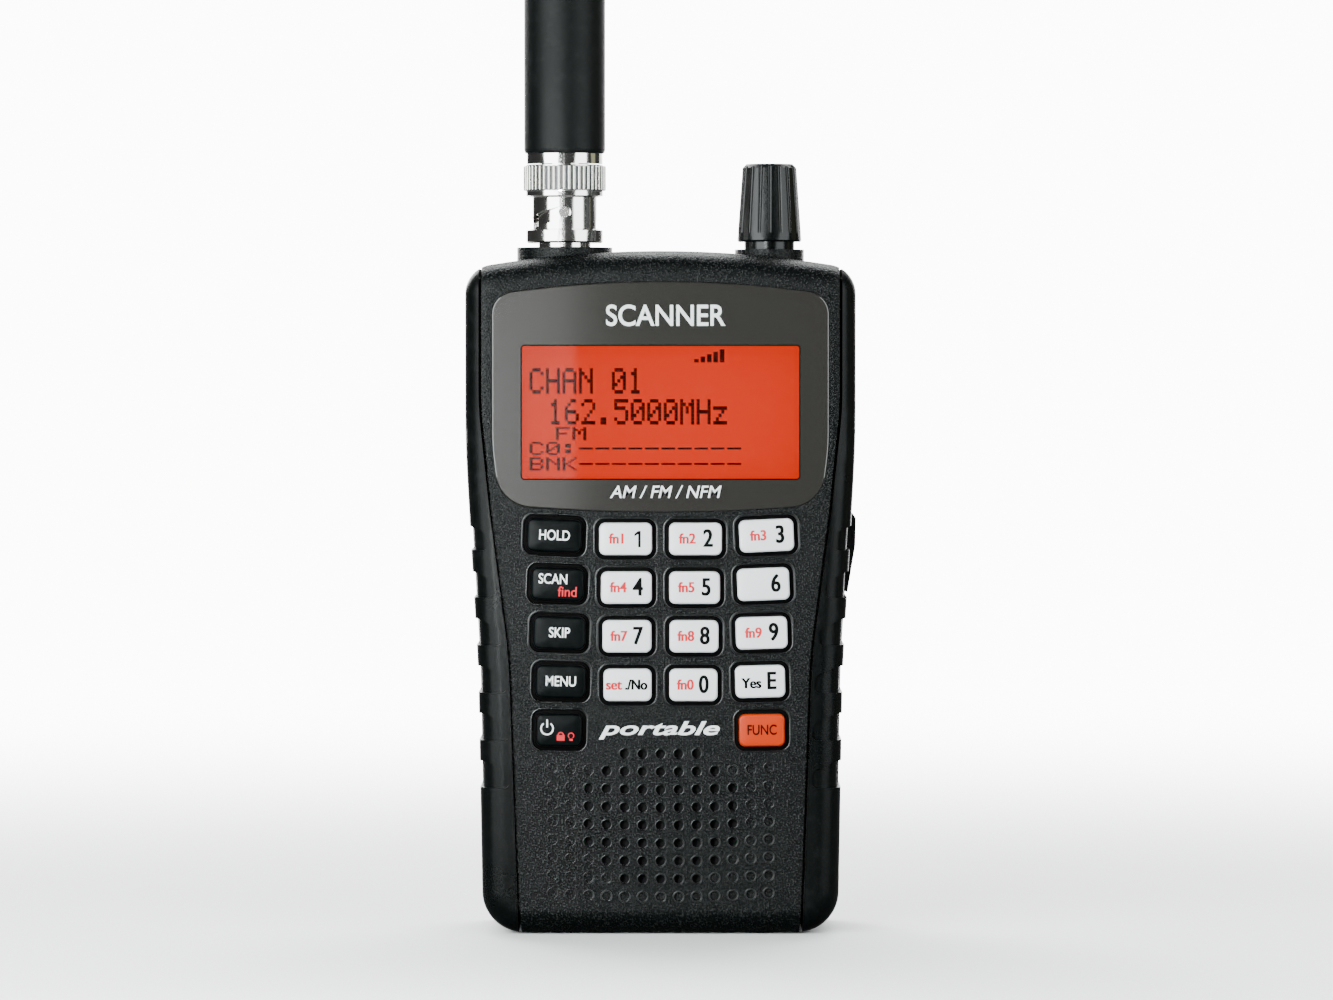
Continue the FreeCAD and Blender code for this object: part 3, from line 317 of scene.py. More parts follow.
def clear_material(name):
    shader = finish_material(name, (1.0, 0.99, 0.98), 0.02, wear=0.05, dust=0.0)
    shader.inputs["Transmission Weight"].default_value = 1.0
    shader.inputs["IOR"].default_value = 1.25


def make_materials():
    """Every finish of the object, keyed by a maker's plain words."""
    grain_group()
    wear_group()
    dust_group()
    tint = colours()
    ink = dict(roughness=0.5, wear=0.0, dust=0.0)
    table = {
        # The case carries the most painted glint on its grain.
        "case": dict(rgb=tint.case, roughness=0.22, grain=0.00012, scale=3000.0,
                     painted_glint=0.28, wear=0.12, dust=0.05, specular=0.11),
        "grip": dict(rgb=tint.grip, roughness=0.27, grain=0.00002, scale=3600.0,
                     painted_glint=0.05, dust=0.1, specular=0.10),
        "cover": dict(rgb=tint.cover, roughness=0.06, wear=0.1, dust=0.0, coat=0.5),
        "lip": dict(rgb=tint.case, roughness=0.24, grain=0.00001, dust=0.0, specular=0.5),
        "key_black": dict(rgb=tint.key_black, roughness=0.30, grain=0.000006, dust=0.02,
                          specular=0.05),
        "key_white": dict(rgb=tint.key_white, roughness=0.34, grain=0.000004, wear=0.2,
                          dust=0.02, coat=0.15),
        "key_orange": dict(rgb=tint.key_orange, roughness=0.34, grain=0.000004, wear=0.1,
                           dust=0.0, specular=0.15),
        # Near-black with almost no reflection: fills the key wells round the caps and edges the
        # display window.
        "web": dict(rgb=(0.0010, 0.0010, 0.0010), roughness=0.5, grain=0.00001, dust=0.0,
                    wear=0.0, specular=0.02),
        "legend_white": dict(rgb=(0.80, 0.82, 0.82), roughness=0.5, wear=0.2, dust=0.0),
        "legend_black": dict(rgb=(0.002, 0.002, 0.002), specular=0.04, **ink),
        "legend_red": dict(rgb=tint.legend_red, specular=0.05, **ink),
        "legend_dark_red": dict(rgb=(0.012, 0.001, 0.0005), specular=0.04, **ink),
        "dots": dict(rgb=tint.dots, roughness=0.6, wear=0.0, dust=0.0, specular=0.05),
        "nickel": dict(rgb=tint.metal, roughness=0.10, metallic=1.0, wear=0.35, dust=0.05),
        # Chrome of the ribs, darker than the ring's plating: painted shade on the knurl.
        "knurl_painted_shade": dict(rgb=(0.58, 0.57, 0.54), roughness=0.16, metallic=1.0, wear=0.3),
        # Dark metal for the ring's core between the ribs: painted shade in the gaps between
        # ribs.
        "rib_gap_painted_shade": dict(rgb=(0.10, 0.10, 0.10), roughness=0.45, metallic=1.0, wear=0.3),
        "steel": dict(rgb=(0.56, 0.57, 0.57), roughness=0.30, metallic=1.0, wear=0.5, dust=0.1,
                      grain=0.000004, scale=5200.0),
        "brass": dict(rgb=(0.78, 0.55, 0.24), roughness=0.25, metallic=1.0),
        "rubber": dict(rgb=tint.rubber, roughness=0.42, grain=0.000012, scale=3800.0,
                       dust=0.1, painted_glint=0.02, specular=0.13),
        "knob": dict(rgb=(0.0014, 0.0020, 0.0020), roughness=0.20, grain=0.000008,
                     scale=4200.0, dust=0.1, specular=0.25),
        "board": dict(rgb=(0.015, 0.14, 0.05), roughness=0.35, grain=0.00002, coat=0.4),
        "socket": dict(rgb=(0.006, 0.006, 0.006), roughness=0.35, grain=0.00001),
        "insulator": dict(rgb=(0.80, 0.79, 0.74), roughness=0.4, grain=0.00001),
        "cloth": dict(rgb=(0.010, 0.010, 0.011), roughness=0.9, grain=0.00012, scale=4200.0),
        "paper": dict(rgb=(0.03, 0.03, 0.03), roughness=0.8, grain=0.00005),
        "cell": dict(rgb=(0.10, 0.10, 0.12), roughness=0.3, metallic=0.4, wear=0.4),
        "screw": dict(rgb=(0.03, 0.03, 0.032), roughness=0.35, metallic=1.0),
        "mat": dict(rgb=(0.20, 0.012, 0.006), roughness=0.55, grain=0.00002, dust=0.0),
    }
    for name, values in table.items():
        finish_material(name, **values)
    glowing_material("glow", tint.glow, 0.98)
    clear_material("clear")


def finish(name):
    return bpy.data.materials[name]


# ---- meshes -----------------------------------------------------------------------------

def link_object(name, data):
    item = bpy.data.objects.new(name, data)
    bpy.context.scene.collection.objects.link(item)
    return item


def add_piece(name, mesh, body, slot, *materials, stands_for=()):
    """Link a finished mesh as a piece that rides on a body of the frame."""
    piece = link_object(name, mesh)
    if len(mesh.materials):  # clearing an empty list would reset the faces' indices
        mesh.materials.clear()
    for material in materials:
        mesh.materials.append(finish(material))
    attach(piece, body)
    if stands_for:
        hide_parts(*stands_for)


def take_mesh(draft, name):
    """The plain mesh of a draft with its modifiers applied; the draft goes away."""
    shown = draft.evaluated_get(bpy.context.evaluated_depsgraph_get())
    mesh = bpy.data.meshes.new_from_object(shown)
    mesh.name = name
    bpy.data.objects.remove(draft)
    return mesh


def weight_normals(name, mesh, weight=50):
    """Even out the shading beside large flat faces."""
    if "custom_normal" in mesh.attributes:
        mesh.attributes.remove(mesh.attributes["custom_normal"])
    draft = link_object(name + "_draft", mesh)
    modifier = draft.modifiers.new("weighted_normal", "WEIGHTED_NORMAL")
    modifier.keep_sharp = True
    modifier.weight = weight
    return take_mesh(draft, name)


def smooth_by_angle(work, degrees):
    """Mark edges sharper than an angle, and shade the rest smooth."""
    limit = math.radians(degrees)
    for face in work.faces:
        face.smooth = True
    for edge in work.edges:
        edge.smooth = edge.calc_face_angle(0.0) < limit


def to_mesh(work, name, degrees=32):
    smooth_by_angle(work, degrees)
    mesh = bpy.data.meshes.new(name)
    work.to_mesh(mesh)
    work.free()
    return mesh


def add_solid(name, work, degrees, body, slot, material, stands_for=()):
    """Turn a shape's faces outwards and add it as a piece."""
    bmesh.ops.recalc_face_normals(work, faces=work.faces)
    add_piece(name, to_mesh(work, name, degrees), body, slot, material, stands_for=stands_for)


def add_face(work, corners):
    work.faces.new([work.verts.new(corner) for corner in corners])


def thicken(work, depth):
    """Give flat faces a thickness towards +Y, in the same order at each run."""
    faces = work.faces[:]
    borders = [edge.verts[:] for edge in work.edges if edge.is_boundary]
    back = Vector((0, depth, 0))
    twins = {vertex: work.verts.new(vertex.co + back) for vertex in work.verts[:]}
    for face in faces:
        work.faces.new([twins[vertex] for vertex in reversed(face.verts[:])])
    for first, second in borders:
        work.faces.new((first, second, twins[second], twins[first]))


def node_work(node):
    """A merged copy of a frame node's mesh, ready to be worked on."""
    work = bmesh.new()
    work.from_mesh(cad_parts[node].data)
    bmesh.ops.remove_doubles(work, verts=work.verts, dist=MERGE)
    return work


def finish_node(node, body, slot, material, degrees=32):
    """A frame node's shape with smooth shading over its curves."""
    name = node + "_finished"
    mesh = weight_normals(name, to_mesh(node_work(node), name, degrees), 80)
    add_piece(name, mesh, body, slot, material, stands_for=(node,))


def recolour(material, *nodes):
    """Give nodes that stay as they are a finished material."""
    for node in nodes:
        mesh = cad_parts[node].data
        mesh.materials.clear()
        mesh.materials.append(finish(material))


def middle_of(node):
    low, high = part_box(node)
    return (Vector(low) + Vector(high)) / 2


def rounded_loop(half_width, half_height, radius, steps=8):
    """Points (x, z) round a rectangle with rounded corners, anticlockwise."""
    points = []
    for quarter, (sign_x, sign_z) in enumerate(((1, -1), (1, 1), (-1, 1), (-1, -1))):
        centre_x = sign_x * (half_width - radius)
        centre_z = sign_z * (half_height - radius)
        for step in range(steps + 1):
            angle = math.radians(90 * (quarter - 1) + 90 * step / steps)
            points.append((centre_x + radius * math.cos(angle),
                           centre_z + radius * math.sin(angle)))
    return points


def rectangle(left, right, low, high):
    """Corners (x, z) of a rectangle, anticlockwise."""
    return [(left, low), (right, low), (right, high), (left, high)]


def at_depth(outline, y, lift=0.0):
    """Set a flat (x, z) outline at one depth."""
    return [Vector((x, y, z + lift)) for x, z in outline]


def circle(x, y, radius, z, count):
    """Points round a level circle."""
    turns = [2 * math.pi * step / count for step in range(count)]
    return [Vector((x + radius * math.cos(turn), y + radius * math.sin(turn), z))
            for turn in turns]


def loft(work, rings, ends="capped"):
    """Faces between rings of points; the end rings are capped, left open or joined."""
    loops = [[work.verts.new(point) for point in ring] for ring in rings]
    count = len(loops[0])
    following = loops[1:] + loops[:1] if ends == "joined" else loops[1:]
    for lower, upper in zip(loops, following):
        for index in range(count):
            after = (index + 1) % count
            work.faces.new((lower[index], lower[after], upper[after], upper[index]))
    if ends == "capped":
        work.faces.new(list(reversed(loops[0])))
        work.faces.new(loops[-1])
    return loops


def along(outline):
    """Each point of a closed outline, with the way that the outline runs there."""
    count = len(outline)
    for index, point in enumerate(outline):
        way = Vector(outline[(index + 1) % count]) - Vector(outline[index - 1])
        yield point, way.normalized()


def shrink_outline(outline, amount):
    """Move an anticlockwise outline inwards."""
    return [(x - way.y * amount, z + way.x * amount) for (x, z), way in along(outline)]


def sweep_loop(work, outline, y, radius, sides=8):
    """A thin round bead along a closed outline of (x, z) points at one depth."""
    turns = [2 * math.pi * side / sides for side in range(sides)]
    rings = []
    for (x, z), way in along(outline):
        across = Vector((way.y, -way.x)) * radius
        rings.append([Vector((x + across.x * math.cos(turn), y + radius * math.sin(turn),
                              z + across.y * math.cos(turn))) for turn in turns])
    loft(work, rings, "joined")


def lathe(name, profile, x, y, segments=96):
    """A mesh spun from (radius, height) pairs, listed from the bottom outwards and up."""
    work = bmesh.new()
    loft(work, [circle(x, y, radius, z, segments) for radius, z in profile])
    bmesh.ops.recalc_face_normals(work, faces=work.faces)
    return to_mesh(work, name)


# ---- geometry nodes ---------------------------------------------------------------------

RIB_SIDES = 10
RIM_STEPS = 20
RIM_SIDES = 8


def pattern_tree(name, *lengths):
    """A tree that sets a shape on points, with named lengths; returns it and its ends."""
    inputs = [("Points", "NodeSocketGeometry", None)]
    inputs += [(label, "NodeSocketFloat", None) for label in lengths]
    inputs.append(("Material", "NodeSocketMaterial", None))
    return new_tree("GeometryNodeTree", name, inputs, [("Geometry", "NodeSocketGeometry")])


def place_on_points(tree, inside, outside, shape, **inputs):
    """Set a shape on the points, and end in Realize Instances and Set Material."""
    inputs = {"Points": inside.outputs["Points"], "Instance": shape, **inputs}
    placed = add_node(tree, "GeometryNodeInstanceOnPoints", inputs)
    real = add_node(tree, "GeometryNodeRealizeInstances", {"Geometry": placed["Instances"]})
    inputs = {"Geometry": real["Geometry"], "Material": inside.outputs["Material"]}
    painted = add_node(tree, "GeometryNodeSetMaterial", inputs)
    feed(tree, outside, {"Geometry": painted["Geometry"]})


def run_tree(name, points, tree, values):
    """Run a geometry tree on points, with its inputs set by their identifiers."""
    mesh = bpy.data.meshes.new(name + "_points")
    mesh.from_pydata(points, [], [])
    draft = link_object(name + "_draft", mesh)
    modifier = draft.modifiers.new("build", "NODES")
    modifier.node_group = tree
    for item in tree.interface.items_tree:
        if item.in_out == "INPUT" and item.name in values:
            modifier[item.identifier] = values[item.name]
    return take_mesh(draft, name)


def ribs_tree():
    """Upright round ribs set on the points of a circle."""
    tree, inside, outside = pattern_tree("ring_of_ribs", "Rib Radius", "Rib Length")
    inputs = {"Vertices": RIB_SIDES, "Radius": inside.outputs["Rib Radius"],
              "Depth": inside.outputs["Rib Length"]}
    rib = add_node(tree, "GeometryNodeMeshCylinder", inputs)
    place_on_points(tree, inside, outside, rib["Mesh"])
    return tree


def rims_tree():
    """Round rims set on points of the front panel."""
    tree, inside, outside = pattern_tree("rims_of_holes", "Hole Radius", "Rim Radius")
    curves = []
    for steps, label in ((RIM_STEPS, "Hole Radius"), (RIM_SIDES, "Rim Radius")):
        inputs = {"Resolution": steps, "Radius": inside.outputs[label]}
        curves.append(add_node(tree, "GeometryNodeCurvePrimitiveCircle", inputs)["Curve"])
    inputs = {"Curve": curves[0], "Profile Curve": curves[1]}
    rim = add_node(tree, "GeometryNodeCurveToMesh", inputs)
    place_on_points(tree, inside, outside, rim["Mesh"],
                    Rotation=(math.radians(90), 0, 0))
    return tree


def shade_smooth(mesh):
    for face in mesh.polygons:
        face.use_smooth = True
    return mesh


# ---- lettering --------------------------------------------------------------------------

def letter_mesh(words, height, centre, tilt=0.0, squeeze=0.72, bold=0.03, slant=0.0):
    """Flat generic lettering, as a mesh that faces -Y at a place on the object."""
    curve = bpy.data.curves.new("letters", "FONT")
    curve.body = words
    curve.size = height / CAPITAL
    curve.align_x = "CENTER"
    curve.align_y = "CENTER"
    curve.extrude = INK
    curve.offset = height * bold
    curve.shear = slant
    mesh = take_mesh(link_object("letters_draft", curve), "letters")
    upright = Matrix.Rotation(math.radians(90), 4, "X") @ Matrix.Diagonal((squeeze, 1, 1, 1))
    leaned = Matrix.Rotation(math.radians(tilt), 4, "Y")
    mesh.transform(Matrix.Translation(centre) @ leaned @ upright)
    return mesh


def merge_meshes(name, meshes):
    """Join meshes into one, each with a material of its own."""
    work = bmesh.new()
    for index, mesh in enumerate(meshes):
        start = len(work.faces)
        work.from_mesh(mesh)
        work.faces.ensure_lookup_table()
        for face in work.faces[start:]:
            face.material_index = index
    mesh = bpy.data.meshes.new(name)
    work.to_mesh(mesh)
    work.free()
    return mesh


GLYPHS = {
    "A": "01110 10001 10001 11111 10001 10001 10001",
    "B": "11110 10001 10001 11110 10001 10001 11110",
    "C": "01110 10001 10000 10000 10000 10001 01110",
    "F": "11111 10000 10000 11110 10000 10000 10000",
    "H": "10001 10001 10001 11111 10001 10001 10001",
    "K": "10001 10010 10100 11000 10100 10010 10001",
    "M": "10001 11011 10101 10101 10001 10001 10001",
    "N": "10001 11001 10101 10011 10001 10001 10001",
    "h": "10000 10000 10110 11001 10001 10001 10001",
    "a": "00000 00000 01110 00001 01111 10001 01111",
    "n": "00000 00000 10110 11001 10001 10001 10001",
    "z": "00000 00000 11111 00010 00100 01000 11111",
    "0": "01110 10001 10011 10101 11001 10001 01110",
    "1": "00100 01100 00100 00100 00100 00100 01110",
    "2": "01110 10001 00001 00010 00100 01000 11111",
    "5": "11111 10000 11110 00001 00001 10001 01110",
    "6": "00110 01000 10000 11110 10001 10001 01110",
    ".": "00000 00000 00000 00000 00000 01100 01100",
    ":": "00000 01100 01100 00000 01100 01100 00000",
    "-": "00000 00000 00000 11111 00000 00000 00000",
    " ": "00000 00000 00000 00000 00000 00000 00000",
}


def add_block(work, left, low, width, height, y):
    """A flat rectangle of the display, at one depth."""
    add_face(work, at_depth(rectangle(left, left + width, low, low + height), y))


def dot_rows(work, words, left, top, width, height, y):
    """Characters of the display as dots, five across and seven down."""
    wide, tall = width * 1.08, height * 0.98
    for place, letter in enumerate(words):
        for row, line in enumerate(GLYPHS[letter].split()):
            for column, mark in enumerate(line):
                if mark == "0":
                    continue
                x = left + (place * 6 + column) * width
                z = top - row * height
                add_block(work, x, z - tall, wide, tall, y)


# ---- operators --------------------------------------------------------------------------

class SCANNER_OT_casing(bpy.types.Operator):
    """Finish the shells, the grips, the door and the screws"""

    bl_idname = "scanner.casing"
    bl_label = "Casing"

    def execute(self, context):
        for node, body in (("front_housing", "handset"), ("rear_housing", "handset"),
                           ("battery_door", "door")):
            finish_node(node, body, "case_black", "case", 28)
        for node in ("side_grip_left", "side_grip_right"):
            finish_node(node, "handset", "grip_satin", "grip", 40)
        finish_node("port_cover", "port_flap", "soft_rubber", "rubber")
        recolour("screw", "housing_screws", "clip_screws")
        return {"FINISHED"}


class SCANNER_OT_grille(bpy.types.Operator):
    """Give the speaker holes raised rims and finish the speaker behind them"""

    bl_idname = "scanner.grille"
    bl_label = "Speaker grille"

    def execute(self, context):
        across, down, top = 0.00315, 0.00313, 0.0318
        sag, half_width = 0.0007, 0.0189
        recess, hole_radius = 0.00003, 0.00094
        points = []
        for row in range(9):
            for column in range(-2, 3) if row == 0 else range(-6, 7):
                x = column * across
                z = top - row * down + sag * (x / half_width) ** 2
                points.append((x, FRONT_Y + recess, z))
        values = {"Hole Radius": hole_radius, "Rim Radius": sizes().hole_rim,
                  "Material": finish("lip")}
        rims = run_tree("grille_rims", points, rims_tree(), values)
        add_piece("grille_rims", shade_smooth(rims), "handset", "case_black", "lip")
        recolour("cloth", "speaker_cloth")
        recolour("paper", "speaker_cone")
        recolour("steel", "speaker_frame", "speaker_magnet")
        return {"FINISHED"}


def lens_outline():
    """The display cover's outline, read from the back of its frame node."""
    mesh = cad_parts["display_lens"].data
    back = max(vertex.co.y for vertex in mesh.vertices)
    points = {(round(vertex.co.x, 6), round(vertex.co.z, 6)) for vertex in mesh.vertices
              if back - vertex.co.y < 1e-5}
    middle = middle_of("display_lens")
    return sorted(points, key=lambda p: math.atan2(p[1] - middle.z, p[0] - middle.x))


class SCANNER_OT_display(bpy.types.Operator):
    """Build the printed cover, its clear window and the lit display"""

    bl_idname = "scanner.display"
    bl_label = "Display"

    def execute(self, context):
        self.build_cover()
        self.build_screen()
        self.build_dots()
        self.build_words()
        recolour("steel", "lcd_frame")
        recolour("insulator", "lcd_backlight")
        return {"FINISHED"}

    def build_cover(self):
        """A dark frame with an opening for the lit display, and the clear pane in it."""
        low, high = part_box("display_lens")
        front, back = low[1], high[1]
        outer = lens_outline()
        middle = sizes().window_middle
        window = [(x, z + middle) for x, z in
                  rounded_loop(sizes().window_width / 2, sizes().window_height / 2, 0.0006)]
        work = bmesh.new()
        bevel = 0.00022
        rings = [(outer, back), (outer, front + bevel),
                 (shrink_outline(outer, bevel * 0.35), front + bevel * 0.3),
                 (shrink_outline(outer, bevel), front)]
        loops = loft(work, [at_depth(ring, y) for ring, y in rings], "open")
        near, far = loft(work, [at_depth(window, y) for y in (front, back)], "open")
        for ring, hole in ((loops[-1], near), (loops[0], far)):
            edges = []
            for line in (ring, hole):
                for index, vertex in enumerate(line):
                    edges.append(work.edges.get((vertex, line[(index + 1) % len(line)])))
            bmesh.ops.triangle_fill(work, edges=edges, use_beauty=True)
        add_solid("cover_frame", work, 20, "handset", "cover_grey", "cover",
                  stands_for=("display_lens",))

        pane = bmesh.new()
        pane_gap, pane_recess = 0.00004, 0.00002
        inner = shrink_outline(window, pane_gap)
        loft(pane, [at_depth(inner, y) for y in (back, front + pane_recess)])
        add_solid("cover_window", pane, 20, "handset", "display_orange", "clear")

        beads = (("window_edge", "web", window, 0.00004, 0.00011),
                 ("cover_lip", "lip", shrink_outline(outer, -0.00018), 0.00028, 0.00016))
        for name, material, outline, recess, radius in beads:
            bead = bmesh.new()
            sweep_loop(bead, outline, front + recess, radius)
            add_solid(name, bead, 80, "handset", "case_black", material)

    def build_screen(self):
        """The lit plate behind the window, a little larger than the window."""
        low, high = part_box("lcd_glass")
        margin = 0.0008
        outline = rounded_loop(sizes().window_width / 2 + margin,
                               sizes().window_height / 2 + margin, margin)
        work = bmesh.new()
        loft(work, [at_depth(outline, y, sizes().window_middle) for y in (high[1], low[1])])
        add_solid("lit_display", work, 32, "handset", "display_orange", "glow",
                  stands_for=("lcd_glass",))

    def build_dots(self):
        """The display's characters: a channel name, a frequency and two rows of dashes."""
        size = sizes()
        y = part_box("lcd_glass")[0][1] - 0.00003
        work = bmesh.new()
        left = -size.window_width / 2 + 0.0014
        top = size.window_middle + size.window_height / 2
        rows = (("CHAN 01", 0.0, 0.0040, size.tall_dot),
                ("162.5000MHz", 0.0033, 0.0094, size.tall_dot),
                ("FM", 0.0046, 0.0143, size.low_dot),
                ("C0:----------", 0.0, 0.0169, size.low_dot),
                ("BNK----------", 0.0, 0.0196, size.low_dot))
        for words, indent, drop, height in rows:
            dot_rows(work, words, left + indent, top - drop, size.dot_width, height, y)
        bar_left, bar_pitch, bar_width = 0.0059, 0.00112, 0.00078
        for bar in range(5):
            height = 0.0006 + bar * 0.00042
            add_block(work, bar_left + bar * bar_pitch, top - 0.0030, bar_width, height, y)
        thicken(work, 2 * INK)
        add_solid("display_dots", work, 32, "handset", "display_orange", "dots")

    def build_words(self):
        """Plain words above and below the display, and one above the speaker."""
        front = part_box("display_lens")[0][1] - INK
        above = letter_mesh("SCANNER", 0.0037, (0.0008, front, 0.1082), squeeze=0.90, bold=0.02)
        below = letter_mesh("AM / FM / NFM", 0.0022, (0.0008, front, 0.0775), squeeze=0.98,
                            bold=0.012, slant=0.22)
        low = letter_mesh("portable", 0.0024, (-0.0003, FRONT_Y - INK, 0.0362),
                          squeeze=1.80, slant=0.30)
        add_piece("cover_words", merge_meshes("cover_words", [above, below, low]), "handset",
                  "keycap_white", "legend_white", "legend_white", "legend_white")


LEGENDS = {
    "key_1": ("1", "fn1"), "key_2": ("2", "fn2"), "key_3": ("3", "fn3"),
    "key_4": ("4", "fn4"), "key_5": ("5", "fn5"), "key_6": ("6", ""),
    "key_7": ("7", "fn7"), "key_8": ("8", "fn8"), "key_9": ("9", "fn9"),
    "key_0": ("0", "fn0"), "key_no": ("./No", "set"), "key_enter": ("E", ""),
    "key_hold": ("HOLD", ""), "key_scan": ("SCAN", "find"), "key_skip": ("SKIP", ""),
    "key_menu": ("MENU", ""), "key_func": ("FUNC", ""), "key_power": ("", ""),
}
BLACK_KEYS = ("key_hold", "key_scan", "key_skip", "key_menu", "key_power")


Key = namedtuple("Key", "name centre lean half_width half_height")


def key_list():
    """Name, middle, lean and half sizes of each key."""
    for row, names in enumerate(KEY_ROWS):
        for column, name in enumerate(names):
            if name is None:
                continue
            lean = 0.0
            if column in (0, 3):
                lean = KEY_TILTS[row] if column == 0 else -KEY_TILTS[row]
            centre = middle_of(name)
            yield Key(name, centre, lean, *cap_size(name, centre, lean))


def cap_size(name, centre, lean):
    """Half width and half height of a cap, read from the part of its node that shows."""
    turn = Matrix.Rotation(math.radians(-lean), 3, "Y")
    spans = [turn @ (vertex.co - centre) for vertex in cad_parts[name].data.vertices
             if vertex.co.y < FRONT_Y]
    return max(point.x for point in spans), max(point.z for point in spans)


def place_on_key(outline, key, y):
    """Put a flat (x, z) outline over a key at one depth, with the key's lean."""
    turn = Matrix.Rotation(math.radians(key.lean), 3, "Y")
    middle = Vector((key.centre.x, y, key.centre.z))
    return [turn @ Vector((x, 0, z)) + middle for x, z in outline]


def key_outline(key, gap, corner):
    """A rounded outline that stands off a key's edge by a gap."""
    return rounded_loop(key.half_width + gap, key.half_height + gap, corner)


def key_finish(name):
    if name in BLACK_KEYS:
        return "keycap_black", "key_black"
    if name == "key_func":
        return "keycap_orange", "key_orange"
    return "keycap_white", "key_white"


class SCANNER_OT_keys(bpy.types.Operator):
    """Build the key caps, the near-black web round them and the lips of their wells"""

    bl_idname = "scanner.keys"
    bl_label = "Keys"

    def execute(self, context):
        lips = bmesh.new()
        for key in key_list():
            self.build_cap(key)
            outline = place_on_key(key_outline(key, WELL_GAP, WELL_CORNER), key, 0.0)
            sweep_loop(lips, [(point.x, point.z) for point in outline],
                       FRONT_Y + 0.00006, sizes().lip_size)
        add_solid("well_lips", lips, 80, "handset", "case_black", "lip")
        self.build_web()
        recolour("mat", "keypad_mat")
        return {"FINISHED"}

    def build_cap(self, key):
        """A cap with a rounded edge and a slightly crowned top."""
        low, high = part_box(key.name)
        top, foot = low[1] + KEY_INSET, high[1]
        edge = 0.00042
        outline = key_outline(key, 0.0, CAP_CORNER)
        rings = [place_on_key(outline, key, y) for y in (foot, top + edge + CAP_CROWN)]
        for step in range(1, 6):
            angle = math.radians(90 * step / 5)
            inset = edge * (1 - math.cos(angle))
            y = top + CAP_CROWN + edge * (1 - math.sin(angle))
            rings.append(place_on_key(key_outline(key, -inset, CAP_CORNER - inset), key, y))
        for share in (0.75, 0.45, 0.15):
            smaller = [(x * share, z * share) for x, z in key_outline(key, -edge, 0.0007)]
            rings.append(place_on_key(smaller, key, top + CAP_CROWN * share * share))
        work = bmesh.new()
        loft(work, rings)
        slot, material = key_finish(key.name)
        add_solid(key.name + "_top", work, 60, key.name + "_cap", slot, material,
                  stands_for=(key.name,))

    def build_web(self):
        """A near-black sheet that fills each well round its cap, below the panel's face."""
        work = bmesh.new()
        for key in key_list():
            outer = key_outline(key, 0.00082, WELL_CORNER)
            inner = key_outline(key, 0.00006, 0.0012)
            section = ((outer, 0.00058), (outer, 0.00025), (inner, 0.00018), (inner, 0.00058))
            loft(work, [place_on_key(outline, key, FRONT_Y + recess)
                        for outline, recess in section], "joined")
        add_solid("key_web", work, 30, "handset", "keypad_rubber", "web")


